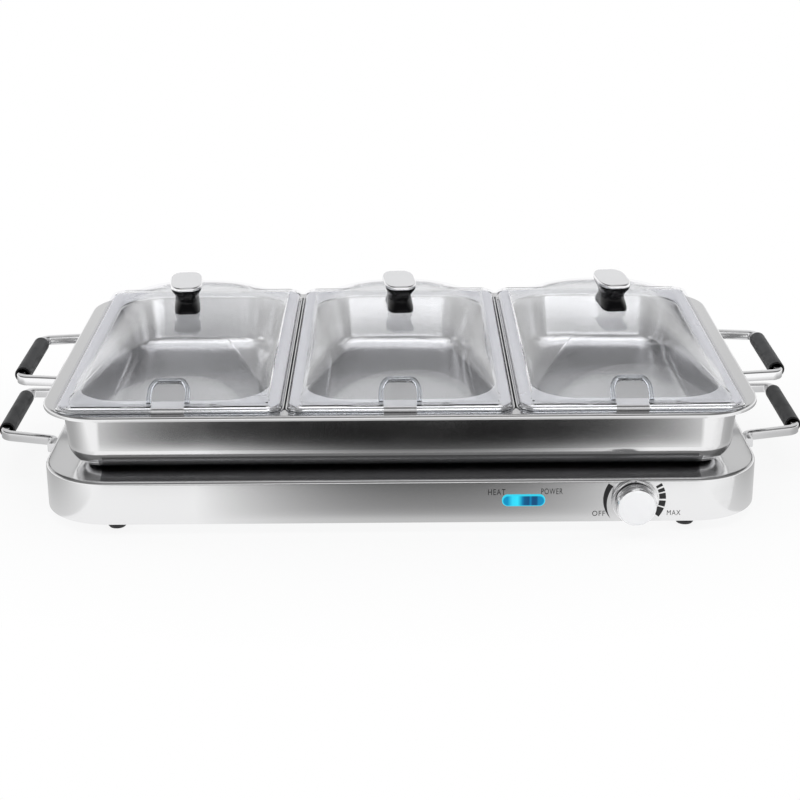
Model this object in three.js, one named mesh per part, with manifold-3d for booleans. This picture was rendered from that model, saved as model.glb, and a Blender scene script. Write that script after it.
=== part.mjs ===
// Electric buffet server: a low warming base, a deep lift-off frame that sits on it,
// three food pans hung in the frame, and a clear domed lid on each pan.
// Millimetres, +Z up, +X to the right and -Y towards the front panel.
// The origin is on the table, under the middle of the base.

import * as THREE from 'three';
import { mergeVertices } from 'three/addons/utils/BufferGeometryUtils.js';
import Module from 'manifold-3d';

// Clearances and sheet metal
const fit = 0.3;
const overrun = 4;
const sheet = 0.8;
const weld = 1e-4;

// Warming base
const baseWidth = 600;
const baseDepth = 356;
const baseCorner = 58;
const deckHeight = 46.5;
const deckEdge = 4.5;
const footHeight = 9;

// Rubber feet and the screws that hold them and the bottom plate
const footRadius = 8.75;
const footSoleRadius = 6.6;
const footShoulder = 3;
const footInsetX = 63;
const footInsetY = 19;
const footScrewRecess = 4;
const standoffRadius = 5;
const screwRadius = 2;
const screwHeadRadius = 3.8;
const screwHeadHeight = 2.2;
const footScrewGrip = 9;

// Front panel
const knobInset = 108;
const knobSkirtRadius = 19;
const knobSkirtHeight = 2.6;
const knobBodyRadius = 16.7;
const knobFaceRadius = 15.4;
const knobHeight = 16;
const knobStandoff = 1;
const knobGroove = 1.2;
const knobPocketRadius = 9;
const knobPocketDepth = 6.2;
const knobBoreDepth = 12;
const pointerWidth = 1.2;
const pointerRise = 0.8;
const knobFaceChamfer = 1.4;
const lensToKnob = 91.2;
const lensRise = 0.6;
const lensWidth = 35.4;
const lensHeight = 10;
const lensProud = 1.2;
const lensPlugInset = 1.3;
const lensPlugDepth = 4;

// Thermostat
const bushRadius = 4.6;
const bushLength = 5.4;
const shaftRadius = 3;
const shaftInside = 8;
const nutAcross = 13;
const nutHeight = 2.4;
const nutSides = 6;
const thermostatWidth = 28;
const thermostatHeight = 24;
const thermostatDepth = 18;

// Lamps behind the lens
const lampHolderWidth = 34;
const lampHolderHeight = 12;
const lampHolderDepth = 12;
const lampRadius = 2.9;
const lampLength = 9.5;
const lampSpacing = 15;

// Heater stack under the deck
const spreaderInsetX = 72;
const spreaderInsetY = 64;
const spreaderThickness = 1.5;
const spreaderCorner = 14;
const elementRows = 4;
const elementEndInset = 14;
const elementSideInset = 39;
const elementWidth = 7;
const elementHeight = 5.5;
const insulationThickness = 5;
const coverOverhang = 7;
const coverSheet = 0.6;
const coverFlange = 9;
const fuseToKnob = 80;
const fuseRadius = 2.4;
const fuseLength = 12;
const fuseLeadRadius = 0.7;
const fuseLeadLength = 9;

// Mains side
const glandInset = 150;
const glandBore = 3.7;
const glandNeckRadius = 7;
const glandFlangeRadius = 10.5;
const glandFlangeHeight = 3;
const glandCapRadius = 7.8;
const glandCapLength = 9;
const glandBarbLength = 5;
const glandBarbRise = 1;
const terminalWidth = 36;
const terminalDepth = 14;
const terminalHeight = 15;
const terminalSetback = 34;
const terminalPoles = 3;
const terminalPitch = 11;
const terminalBoreRadius = 2.3;
const wireRadius = 1.4;
const wireLift = 2.5;

// Frame: the deep tray that stands on the deck
const rimInsetX = 3;
const rimInsetY = 1.5;
const rimCorner = 50;
const rimEdge = 2;
const frameHeight = 55.6;
const rimOverhang = 15;
const lipDrop = 4;
const frameTaper = 3;
const frameFloorRadius = 12;

// Food pans
const panNames = ['left', 'middle', 'right'];
const panRowInset = 13.2;
const panEndInset = 7.9;
const panGap = 6;
const panCorner = 13;
const panSheet = 0.6;
const panLip = 4.7;
const panLipRadius = 2.6;
const panFlangeSide = 10.6;
const panFlangeEnd = 16;
const panMouthCorner = 40;
const panMouthRadius = 3;
const panDeep = 45;
const panTaper = 8;
const panFloorRadius = 9;

// Clear lids
const lidOverlap = 2.4;
const lidCorner = 15;
const lidWall = 1.7;
const skirtWall = 1.2;
const lidStep = 1;
const lidStepDrop = 3.2;
const lidEdge = 0.8;
const skirtClearance = 0.5;
const domeInset = 8;
const domeHeight = 33.1;
const domeCorner = 11;
const domeSidePower = 2.8;
const domeEndPower = 4;
const notchWidth = 27;
const notchRise = 12.6;
const notchCorner = 7;
const notchReach = 52;
const collarBand = 4.2;
const collarRise = 1.6;

// Lid knobs: a waisted post, a plated cap and the screw that clamps both
const postBaseWidth = 23.5;
const postBaseLength = 50;
const postWaistWidth = 15;
const postWaistLength = 44;
const postTopWidth = 27;
const postTopLength = 53;
const postHeight = 20.8;
const capWidth = 28;
const capLength = 54;
const capThickness = 3.6;
const capEdge = 1.1;
const capBite = 2;

// Carrying handles, the same part on the base and on the frame
const barThickness = 7;
const barHeight = 8;
const barFootLength = 15;
const barHalfSpan = 62.7;
const barReach = 50;
const barLean = THREE.MathUtils.degToRad(8);
const barBend = 7.8;
const barFootBend = 7;
const baseHandleRise = THREE.MathUtils.degToRad(3.5);
const frameHandleRise = 0;
const baseHandleDrop = 2.8;
const frameHandleDrop = 4.4;
const gripRadius = 7;
const gripBore = 5.8;
const gripLength = 88;
const gripEdge = 0.8;
const handleScrewHead = 1.4;
const handleScrewBite = 3.9;

// How finely round things are divided
const wideCorners = { corners: 6, sides: 1 };
const tightCorners = { corners: 4, sides: 1 };
const domeDivision = { corners: 3, sides: 3 };
const turnSteps = 24;
const mediumTurnSteps = 14;
const smallTurnSteps = 8;
const bendSteps = 3;
const wireSteps = 18;
const wireSides = 6;
const domeRingShares = [0.93, 0.84, 0.72, 0.57, 0.38, 0.16];
const sharpestTurnShare = 0.5;

// The frame's rim follows the base, the pans share out the rim, and a lid overlaps its pan
const rimWidth = baseWidth - 2 * rimInsetX;
const rimDepth = baseDepth - 2 * rimInsetY;
const panPitch = (rimWidth - 2 * panRowInset) / panNames.length;
const panWidth = panPitch - panGap;
const panDepth = rimDepth - 2 * panEndInset;
const lidWidth = panWidth + 2 * lidOverlap;
const lidDepth = panDepth + 2 * lidOverlap;

// What sits on the front panel, on the rear wall and under the deck follows the base too
const knobX = baseWidth / 2 - knobInset;
const lensX = knobX - lensToKnob;
const fuseX = knobX - fuseToKnob;
const glandX = baseWidth / 2 - glandInset;
const lensPlugWidth = lensWidth - 2 * lensPlugInset;
const lensPlugHeight = lensHeight - 2 * lensPlugInset;
const spreaderWidth = baseWidth - 2 * spreaderInsetX;
const spreaderDepth = baseDepth - 2 * spreaderInsetY;
const elementHalfLength = spreaderWidth / 2 - elementEndInset;
const elementRowPitch = (spreaderDepth - 2 * elementSideInset) / (elementRows - 1);
const coverLength = spreaderWidth + 2 * coverOverhang;

// Heights and planes that follow from the sizes above
const shellCeiling = deckHeight - sheet;
const panelMid = (footHeight + deckHeight) / 2;
const frontPlane = -baseDepth / 2;
const rearPlane = baseDepth / 2;
const plateBottom = footHeight + fit;
const plateTop = plateBottom + sheet;
const frameBottom = deckHeight + fit;
const rimTop = frameBottom + frameHeight;
const panFlangeTop = rimTop + fit + panLip;
const lidFlangeTop = panFlangeTop + fit + lidWall;
const domeTop = lidFlangeTop + domeHeight;
const spreaderTop = shellCeiling - fit;
const elementTop = spreaderTop - spreaderThickness - fit;
const insulationTop = elementTop - elementHeight - fit;
const coverFloor = insulationTop - insulationThickness - fit;
const thermostatFront = frontPlane + sheet + fit;

// Finishes
const finish = (color, roughness, metalness, extra = {}) =>
  new THREE.MeshStandardMaterial({ color, roughness, metalness, ...extra });
const brushedSteel = finish(0xc9cacb, 0.32, 1);
const polishedSteel = finish(0xd6d7d8, 0.14, 1);
const chrome = finish(0xe4e5e6, 0.07, 1);
const zincSteel = finish(0xb4b6b8, 0.4, 1);
const aluminium = finish(0xc4c6c8, 0.45, 1);
const blackRubber = finish(0x17171a, 0.85, 0);
const blackGrip = finish(0x2b2c2e, 0.7, 0);
const blackPlastic = finish(0x0c0c0d, 0.22, 0);
const whitePlastic = finish(0xe6e4dc, 0.55, 0);
const silverPlastic = finish(0xd9dadc, 0.3, 0.6);
const clearPlastic = finish(0xf4f7f8, 0.06, 0, { transparent: true, opacity: 0.3 });
const cyanLens = finish(0x19c8f0, 0.15, 0, { transparent: true, opacity: 0.85 });
const lampGlass = finish(0xbfefff, 0.1, 0);
const mineralBoard = finish(0xcfc9b8, 0.95, 0);
const redWire = finish(0xa8231c, 0.6, 0);
const blueWire = finish(0x23479c, 0.6, 0);
const whiteWire = finish(0xdedcd4, 0.6, 0);
const brass = finish(0xb8923e, 0.35, 1);

const model = new THREE.Group();
const wasm = await Module();
wasm.setup();

// Merges shared corners, drops triangles that lose a side and turns the faces outward.
function tidy(geometry) {
  const bare = geometry.clone();
  for (const name of ['normal', 'uv']) {
    bare.deleteAttribute(name);
  }
  const merged = mergeVertices(bare, weld);
  const index = merged.index.array;
  const corner = [new THREE.Vector3(), new THREE.Vector3(), new THREE.Vector3()];
  const kept = [];
  let volume = 0;
  for (let i = 0; i < index.length; i += 3) {
    const [a, b, c] = [index[i], index[i + 1], index[i + 2]];
    if (a === b || b === c || a === c) continue;
    [a, b, c].forEach((v, k) => corner[k].fromBufferAttribute(merged.attributes.position, v));
    volume += corner[0].dot(corner[1].cross(corner[2]));
    kept.push([a, b, c]);
  }
  merged.setIndex(kept.flatMap(([a, b, c]) => (volume < 0 ? [a, c, b] : [a, b, c])));
  return merged;
}

function toSolid(geometry) {
  const closed = tidy(geometry);
  const vertProperties = new Float32Array(closed.attributes.position.array);
  const triVerts = new Uint32Array(closed.index.array);
  return new wasm.Manifold(new wasm.Mesh({ numProp: 3, vertProperties, triVerts }));
}

function fromSolid(solid) {
  const mesh = solid.getMesh();
  const geometry = new THREE.BufferGeometry();
  geometry.setAttribute('position', new THREE.BufferAttribute(mesh.vertProperties, 3));
  geometry.setIndex(new THREE.BufferAttribute(mesh.triVerts, 1));
  return geometry;
}

function cut(body, ...tools) {
  return fromSolid(tools.reduce((solid, tool) => solid.subtract(toSolid(tool)), toSolid(body)));
}

function join(body, ...others) {
  return fromSolid(others.reduce((solid, other) => solid.add(toSolid(other)), toSolid(body)));
}

function common(body, other) {
  return fromSolid(toSolid(body).intersect(toSolid(other)));
}

function piece(name, geometry, material, x = 0, y = 0, z = 0) {
  const closed = tidy(geometry);
  closed.computeVertexNormals();
  const mesh = new THREE.Mesh(closed, material);
  mesh.name = name;
  mesh.position.set(x, y, z);
  model.add(mesh);
  return mesh;
}

// A rounded rectangle as points, anticlockwise from the right side.
// A division says how many steps each corner and each straight side has.
function outline(width, depth, radius, division = wideCorners) {
  const points = [];
  const centreX = width / 2 - radius;
  const centreY = depth / 2 - radius;
  const corners = [[1, 1], [-1, 1], [-1, -1], [1, -1]];
  corners.forEach(([signX, signY], quarter) => {
    for (let i = 0; i <= division.corners; i += 1) {
      const angle = (quarter + i / division.corners) * (Math.PI / 2);
      const x = signX * centreX + radius * Math.cos(angle);
      const y = signY * centreY + radius * Math.sin(angle);
      points.push(new THREE.Vector2(x, y));
    }
    const [nextX, nextY] = corners[(quarter + 1) % corners.length];
    const turn = (quarter + 1) * (Math.PI / 2);
    const start = points[points.length - 1];
    const endX = nextX * centreX + radius * Math.cos(turn);
    const endY = nextY * centreY + radius * Math.sin(turn);
    const end = new THREE.Vector2(endX, endY);
    for (let i = 1; i < division.sides; i += 1) {
      points.push(new THREE.Vector2().lerpVectors(start, end, i / division.sides));
    }
  });
  return points;
}

// One level of a lofted skin: a rounded rectangle at a height.
function level(width, depth, radius, z, division = wideCorners) {
  return outline(width, depth, radius, division).map((p) => new THREE.Vector3(p.x, p.y, z));
}

// Skins a list of levels, each with as many points, and closes the first and the last.
function loft(levels) {
  const count = levels[0].length;
  const positions = levels.flatMap((points) => points.flatMap((p) => [p.x, p.y, p.z]));
  const index = [];
  for (let row = 0; row + 1 < levels.length; row += 1) {
    for (let i = 0; i < count; i += 1) {
      const next = (i + 1) % count;
      const [a, b] = [row * count + i, row * count + next];
      const [c, d] = [b + count, a + count];
      index.push(a, b, c, a, c, d);
    }
  }
  const last = (levels.length - 1) * count;
  for (let i = 1; i + 1 < count; i += 1) {
    index.push(0, i + 1, i);
    index.push(last, last + i, last + i + 1);
  }
  const geometry = new THREE.BufferGeometry();
  geometry.setAttribute('position', new THREE.Float32BufferAttribute(positions, 3));
  geometry.setIndex(index);
  return geometry;
}

// Levels of a quarter-round edge, from the wall up to the flat (rise = 1) or down (rise = -1).
function roundedEdge(width, depth, corner, radius, z, rise, division = wideCorners) {
  const levels = [];
  for (let i = 0; i <= bendSteps; i += 1) {
    const angle = (i / bendSteps) * (Math.PI / 2);
    const inset = radius * (1 - Math.cos(angle));
    const height = z + rise * radius * (Math.sin(angle) - 1);
    levels.push(level(width - 2 * inset, depth - 2 * inset, corner - inset, height, division));
  }
  return levels;
}

function turned(profile, axis = 'up', steps = turnSteps) {
  const points = profile.map(([radius, height]) => new THREE.Vector2(radius, height));
  const geometry = new THREE.LatheGeometry(points, steps);
  if (axis === 'up') geometry.rotateX(Math.PI / 2);
  if (axis === 'front') geometry.rotateX(Math.PI);
  if (axis === 'side') geometry.rotateZ(-Math.PI / 2);
  return geometry;
}

// A plain pin of one radius between two heights along an axis.
function pin(radius, from, to, axis = 'up', steps = smallTurnSteps) {
  return turned([[0, from], [radius, from], [radius, to], [0, to]], axis, steps);
}

function block(width, depth, height) {
  return new THREE.BoxGeometry(width, depth, height);
}

// A flat outline given in plan, raised between two heights.
function slab(points, bottom, top) {
  const shape = new THREE.Shape(points);
  const geometry = new THREE.ExtrudeGeometry(shape, { depth: top - bottom, bevelEnabled: false });
  return geometry.translate(0, 0, bottom);
}

// An outline given as seen from the front (x across, z up), run from one depth to another.
function frontSlab(points, front, back) {
  const geometry = slab(points, 0, back - front);
  return geometry.rotateX(Math.PI / 2).translate(0, back, 0);
}

// A line of points with its corners rounded to the radii given for them.
function softened(points, radii) {
  const line = [points[0]];
  for (let i = 1; i + 1 < points.length; i += 1) {
    const before = points[i - 1].clone().sub(points[i]).normalize();
    const after = points[i + 1].clone().sub(points[i]).normalize();
    const half = Math.acos(THREE.MathUtils.clamp(before.dot(after), -1, 1)) / 2;
    const setback = radii[i - 1] / Math.tan(half);
    const start = points[i].clone().addScaledVector(before, setback);
    const end = points[i].clone().addScaledVector(after, setback);
    const middle = before.clone().add(after).normalize();
    const centre = points[i].clone().addScaledVector(middle, radii[i - 1] / Math.sin(half));
    const from = start.clone().sub(centre);
    const sweep = Math.PI - 2 * half;
    const sense = Math.sign(from.cross(end.clone().sub(centre)));
    for (let k = 0; k <= bendSteps; k += 1) {
      const spoke = from.clone().rotateAround(new THREE.Vector2(), sense * sweep * (k / bendSteps));
      line.push(spoke.add(centre));
    }
  }
  line.push(points[points.length - 1]);
  return line;
}

// The outline of a strip of even width along a line of points.
function strip(line, width) {
  const sides = [[], []];
  const last = line.length - 1;
  const step = (from) => line[from + 1].clone().sub(line[from]).normalize();
  line.forEach((point, i) => {
    const arriving = step(Math.max(i - 1, 0));
    const leaving = step(Math.min(i, last - 1));
    const along = arriving.clone().add(leaving).normalize();
    const reach = width / 2 / Math.max(along.dot(arriving), sharpestTurnShare);
    const across = new THREE.Vector2(-along.y, along.x).multiplyScalar(reach);
    sides[0].push(point.clone().add(across));
    sides[1].push(point.clone().sub(across));
  });
  return [...sides[0], ...sides[1].reverse()];
}

function wire(points) {
  const corners = points.map((p) => new THREE.Vector3(...p));
  const extrudePath = new THREE.CatmullRomCurve3(corners, false, 'centripetal');
  const section = new THREE.Shape(regularPolygon(wireRadius, wireSides));
  return new THREE.ExtrudeGeometry(section, { steps: wireSteps, bevelEnabled: false, extrudePath });
}

function regularPolygon(radius, steps) {
  const points = [];
  for (let i = 0; i < steps; i += 1) {
    const angle = (i / steps) * 2 * Math.PI;
    points.push(new THREE.Vector2(radius * Math.cos(angle), radius * Math.sin(angle)));
  }
  return points;
}

const leftAndRight = [['left', -1], ['right', 1]];
const footPlaces = leftAndRight.flatMap(([side, signX]) =>
  [['front', -1], ['rear', 1]].map(([end, signY]) => ({
    name: `${end}_${side}`,
    x: signX * (baseWidth / 2 - footInsetX),
    y: signY * (baseDepth / 2 - footInsetY),
  })));

// Handle screws stand in the middle of each bar foot.
const handleScrewOffset = barHalfSpan + barThickness / 2 + barFootLength / 2;
const frameWallX = rimWidth / 2 - rimOverhang;
const baseHandleMid = deckHeight - baseHandleDrop - barHeight / 2;
const frameHandleMid = rimTop - frameHandleDrop - barHeight / 2;

function handleScrewHoles(wallX, height) {
  return leftAndRight.flatMap(([, sign]) => [-1, 1].map((end) =>
    pin(screwRadius + fit, -overrun, overrun, 'side')
      .translate(sign * wallX, end * handleScrewOffset, height)));
}

// Base shell: a drawn sheet box, open below, with standoffs for the foot screws.
function baseShell() {
  const inner = (z) => level(baseWidth - 2 * sheet, baseDepth - 2 * sheet, baseCorner - sheet, z);
  const skin = loft([
    inner(shellCeiling),
    inner(footHeight),
    level(baseWidth, baseDepth, baseCorner, footHeight),
    ...roundedEdge(baseWidth, baseDepth, baseCorner, deckEdge, deckHeight, 1),
  ]);
  const standoffs = footPlaces.map(({ x, y }) =>
    pin(standoffRadius, plateTop + fit, shellCeiling + sheet / 2).translate(x, y, 0));
  const screwBores = footPlaces.map(({ x, y }) =>
    pin(screwRadius + fit, footHeight, plateTop + fit + footScrewGrip).translate(x, y, 0));
  const panelRun = [frontPlane - overrun, frontPlane + sheet + overrun];
  const lensSlot = outline(lensPlugWidth + 2 * fit, lensPlugHeight + 2 * fit, lensPlugHeight / 2);
  const shaftHole = pin(bushRadius + fit, -overrun, overrun + sheet, 'back', turnSteps)
    .translate(knobX, frontPlane, panelMid);
  const glandHole = pin(glandNeckRadius + fit, -overrun - sheet, overrun, 'back', turnSteps)
    .translate(glandX, rearPlane, panelMid);
  return cut(
    join(skin, ...standoffs),
    ...screwBores,
    frontSlab(lensSlot, ...panelRun).translate(lensX, 0, panelMid + lensRise),
    shaftHole,
    glandHole,
    ...handleScrewHoles(baseWidth / 2, baseHandleMid),
  );
}

function bottomPlate() {
  const gap = sheet + fit;
  const plate = loft([plateBottom, plateTop].map((z) =>
    level(baseWidth - 2 * gap, baseDepth - 2 * gap, baseCorner - gap, z)));
  return cut(plate, ...footPlaces.map(({ x, y }) =>
    pin(screwRadius + fit, footHeight, plateTop + overrun).translate(x, y, 0)));
}

// A foot is a shallow rubber bowl with a bore and a recess for the screw head.
function foot() {
  const bore = screwRadius + fit;
  const recess = screwHeadRadius + 2 * fit;
  return turned([
    [recess, 0],
    [footSoleRadius, 0],
    [footRadius, footShoulder],
    [footRadius, footHeight],
    [bore, footHeight],
    [bore, footScrewRecess],
    [recess, footScrewRecess],
    [recess, 0],
  ], 'up', mediumTurnSteps);
}

function screw(length, headRadius = screwHeadRadius, headHeight = screwHeadHeight, axis = 'up') {
  return turned([
    [0, -headHeight],
    [headRadius, -headHeight],
    [headRadius, 0],
    [screwRadius, 0],
    [screwRadius, length],
    [0, length],
  ], axis, smallTurnSteps);
}

piece('base_shell', baseShell(), brushedSteel);
piece('bottom_plate', bottomPlate(), zincSteel);
const footScrewSeat = footScrewRecess - fit;
const footScrewLength = plateTop + footScrewGrip - footScrewSeat;
for (const { name, x, y } of footPlaces) {
  piece(`foot_${name}`, foot(), blackRubber, x, y, 0);
  piece(`foot_screw_${name}`, screw(footScrewLength), zincSteel, x, y, footScrewSeat);
}

// Heater stack: spreader plate, flattened heating element, board and the channel that holds them.
function elementStrip() {
  const rows = [];
  for (let row = 0; row < elementRows; row += 1) {
    const y = (row - (elementRows - 1) / 2) * elementRowPitch;
    const ends = [new THREE.Vector2(elementHalfLength, y), new THREE.Vector2(-elementHalfLength, y)];
    rows.push(...(row % 2 ? ends.reverse() : ends));
  }
  const line = softened(rows, Array(rows.length - 2).fill(elementRowPitch / 2 - fit));
  return slab(strip(line, elementWidth), elementTop - elementHeight, elementTop);
}

const coverInnerHalf = spreaderDepth / 2 + 2 * fit;
const coverOuterHalf = coverInnerHalf + coverSheet;

function elementCover() {
  const half = [
    [coverOuterHalf, coverFloor - coverSheet],
    [coverOuterHalf, spreaderTop - coverSheet],
    [coverOuterHalf + coverFlange, spreaderTop - coverSheet],
    [coverOuterHalf + coverFlange, spreaderTop],
    [coverInnerHalf, spreaderTop],
    [coverInnerHalf, coverFloor],
  ];
  const section = [...half, ...half.map(([y, z]) => [-y, z]).reverse()];
  const points = section.map(([y, z]) => new THREE.Vector2(y, z));
  const channel = slab(points, -coverLength / 2, coverLength / 2);
  return channel.rotateY(Math.PI / 2).rotateX(Math.PI / 2);
}

piece('heat_spreader', loft([spreaderTop - spreaderThickness, spreaderTop].map((z) =>
  level(spreaderWidth, spreaderDepth, spreaderCorner, z))), aluminium);
piece('heating_element', elementStrip(), zincSteel);
piece('insulation_board', block(spreaderWidth, spreaderDepth, insulationThickness), mineralBoard,
  0, 0, insulationTop - insulationThickness / 2);
piece('element_cover', elementCover(), zincSteel);

// The thermal fuse lies against the front wall of the cover.
const fuseY = -coverOuterHalf - fit - fuseRadius;
const fuseZ = (coverFloor + spreaderTop) / 2;
function thermalFuse() {
  const half = fuseLength / 2;
  const tip = half + fuseLeadLength;
  return turned([
    [0, -tip],
    [fuseLeadRadius, -tip],
    [fuseLeadRadius, -half],
    [fuseRadius, -half],
    [fuseRadius, half],
    [fuseLeadRadius, half],
    [fuseLeadRadius, tip],
    [0, tip],
  ], 'side', smallTurnSteps);
}
piece('thermal_fuse', thermalFuse(), aluminium, fuseX, fuseY, fuseZ);

// Thermostat: a body behind the panel with a threaded bush through it.
const thermostatMidY = thermostatFront + thermostatDepth / 2;
function thermostatBody() {
  const body = block(thermostatWidth, thermostatDepth, thermostatHeight).translate(0, thermostatMidY, 0);
  const bush = pin(bushRadius, -thermostatMidY, -frontPlane + bushLength - sheet, 'front', turnSteps);
  const boreFoot = -thermostatFront - shaftInside - fit;
  const boreMouth = -frontPlane + bushLength + overrun;
  const bore = pin(shaftRadius + fit, boreFoot, boreMouth, 'front', turnSteps);
  return cut(join(body, bush), bore);
}

function hexNut(across, height, bore) {
  const corner = across / Math.sqrt(3);
  const hexagon = regularPolygon(corner, nutSides);
  return cut(slab(hexagon, 0, height), pin(bore, -overrun, height + overrun, 'up', turnSteps));
}

piece('thermostat_body', thermostatBody(), whitePlastic, knobX, 0, panelMid);
piece('thermostat_nut', hexNut(nutAcross, nutHeight, bushRadius + fit).rotateX(Math.PI / 2), zincSteel,
  knobX, frontPlane - fit, panelMid);

// The knob turns on the panel's normal: skirt, groove, body and a flat pale face.
const knobBack = frontPlane - knobStandoff;
function knob() {
  const faceEdge = (knobBodyRadius - knobFaceRadius) / 2;
  const body = turned([
    [0, knobHeight],
    [knobFaceRadius, knobHeight],
    [knobFaceRadius + faceEdge, knobHeight - knobFaceChamfer],
    [knobBodyRadius, knobSkirtHeight + knobGroove],
    [knobBodyRadius - knobGroove, knobSkirtHeight + knobGroove / 2],
    [knobBodyRadius, knobSkirtHeight],
    [knobSkirtRadius - knobGroove / 2, knobSkirtHeight],
    [knobSkirtRadius, knobSkirtHeight / 2],
    [knobSkirtRadius, 0],
    [knobPocketRadius, 0],
    [knobPocketRadius, knobPocketDepth],
    [shaftRadius + fit, knobPocketDepth],
    [shaftRadius + fit, knobBoreDepth],
    [0, knobBoreDepth],
  ], 'front', turnSteps);
  const pointerLength = knobSkirtRadius - knobBodyRadius;
  const pointer = block(pointerWidth, knobSkirtHeight + pointerRise, pointerLength - knobGroove / 2);
  const pointerY = -(knobSkirtHeight + pointerRise) / 2;
  return join(body, pointer.translate(0, pointerY, (knobSkirtRadius + knobBodyRadius) / 2 - knobGroove / 4));
}

piece('thermostat_knob', knob(), silverPlastic, knobX, knobBack, panelMid);
const shaftBack = thermostatFront + shaftInside;
const shaftFront = knobBack - knobBoreDepth + fit;
piece('thermostat_shaft', pin(shaftRadius, -shaftBack, -shaftFront, 'front', mediumTurnSteps), brass,
  knobX, 0, panelMid);

// Indicator lens: a pill-shaped window whose plug passes through the panel.
function lens() {
  const bezel = frontSlab(outline(lensWidth, lensHeight, lensHeight / 2 - fit), -fit - lensProud, -fit);
  const plug = outline(lensPlugWidth, lensPlugHeight, lensPlugHeight / 2 - fit);
  return join(bezel, frontSlab(plug, -fit - lensProud / 2, sheet + lensPlugDepth));
}

const lampHolderFront = frontPlane + sheet + lensPlugDepth + fit;
const lampHolderMid = lampHolderFront + lampHolderDepth / 2;
function lampHolder() {
  const body = block(lampHolderWidth, lampHolderDepth, lampHolderHeight);
  const bores = [-1, 1].map((side) => pin(lampRadius + fit, -lampHolderDepth, lampHolderDepth, 'back')
    .translate(side * lampSpacing / 2, 0, 0));
  return cut(body, ...bores);
}

function lamp() {
  const half = lampLength / 2;
  return turned([
    [0, -half],
    [lampRadius / 2, -half],
    [lampRadius, -half + lampRadius / 2],
    [lampRadius, half],
    [0, half],
  ], 'back', smallTurnSteps);
}

const lensZ = panelMid + lensRise;
piece('indicator_lens', lens(), cyanLens, lensX, frontPlane, lensZ);
piece('lamp_holder', lampHolder(), whitePlastic, lensX, lampHolderMid, lensZ);
piece('heat_lamp', lamp(), lampGlass, lensX - lampSpacing / 2, lampHolderMid, lensZ);
piece('power_lamp', lamp(), lampGlass, lensX + lampSpacing / 2, lampHolderMid, lensZ);

// Snap-in cord gland through the rear wall, and the terminal block by it.
function cordGland() {
  const barbFace = -sheet - fit;
  return turned([
    [glandBore, barbFace - glandBarbLength],
    [glandNeckRadius, barbFace - glandBarbLength],
    [glandNeckRadius + glandBarbRise, barbFace],
    [glandNeckRadius, barbFace],
    [glandNeckRadius, fit],
    [glandFlangeRadius, fit],
    [glandFlangeRadius, fit + glandFlangeHeight],
    [glandCapRadius, fit + glandFlangeHeight],
    [glandCapRadius - fit, fit + glandFlangeHeight + glandCapLength],
    [glandBore, fit + glandFlangeHeight + glandCapLength],
    [glandBore, barbFace - glandBarbLength],
  ], 'back', mediumTurnSteps);
}
piece('cord_gland', cordGland(), blackPlastic, glandX, rearPlane, panelMid);

const terminalMidY = rearPlane - terminalSetback;
const terminalMidZ = plateTop + fit + terminalHeight / 2;
function terminalBlock() {
  const body = block(terminalWidth, terminalDepth, terminalHeight);
  const bores = [];
  for (let pole = 0; pole < terminalPoles; pole += 1) {
    const x = (pole - (terminalPoles - 1) / 2) * terminalPitch;
    bores.push(pin(terminalBoreRadius, -terminalDepth, terminalDepth, 'back').translate(x, 0, 0));
  }
  return cut(body, ...bores);
}
piece('terminal_block', terminalBlock(), whitePlastic, glandX, terminalMidY, terminalMidZ);

// Inner wiring runs on the bottom plate and up to what it feeds.
const wireFloor = plateTop + wireLift + wireRadius;
const terminalFace = terminalMidY - terminalDepth / 2;
const thermostatRear = thermostatFront + thermostatDepth;
const elementMid = elementTop - elementHeight / 2;
const elementLastRow = (elementRows - 1) / 2 * elementRowPitch;
const elementEnd = elementHalfLength + fit;
const wireLoop = 34;
const wireTuck = 12;
const loopX = elementEnd + wireLoop;
piece('wire_terminal_to_thermostat', wire([
  [glandX, terminalMidY, terminalMidZ],
  [glandX, terminalFace, terminalMidZ],
  [glandX, terminalFace - wireTuck, terminalMidZ],
  [glandX, terminalFace - 2 * wireTuck, wireFloor],
  [glandX, 0, wireFloor],
  [knobX - wireTuck, thermostatRear + 5 * wireTuck, wireFloor],
  [knobX - wireTuck / 2, thermostatRear + 3 * wireTuck, (wireFloor + panelMid) / 2],
  [knobX, thermostatRear + wireTuck, panelMid],
  [knobX, thermostatRear + fit, panelMid],
]), redWire);
piece('wire_thermostat_to_element', wire([
  [knobX + wireTuck / 2, thermostatRear + fit, panelMid + wireTuck / 2],
  [knobX + wireTuck / 2, thermostatRear + wireTuck, panelMid + wireTuck / 2],
  [loopX, -elementLastRow - wireLoop, panelMid + wireTuck / 2],
  [loopX, -elementLastRow - wireTuck / 2, elementMid],
  [elementEnd + 2 * wireTuck, -elementLastRow, elementMid],
  [elementEnd + wireTuck, -elementLastRow, elementMid],
  [elementEnd, -elementLastRow, elementMid],
]), whiteWire);
piece('wire_terminal_to_element', wire([
  [glandX + terminalPitch, terminalMidY, terminalMidZ],
  [glandX + terminalPitch, terminalFace, terminalMidZ],
  [glandX + terminalPitch, terminalFace - wireTuck, terminalMidZ],
  [loopX, elementLastRow + wireLoop, panelMid - wireTuck / 2],
  [loopX, elementLastRow + wireTuck / 2, elementMid],
  [elementEnd + 2 * wireTuck, elementLastRow, elementMid],
  [elementEnd + wireTuck, elementLastRow, elementMid],
  [elementEnd, elementLastRow, elementMid],
]), blueWire);

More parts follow.
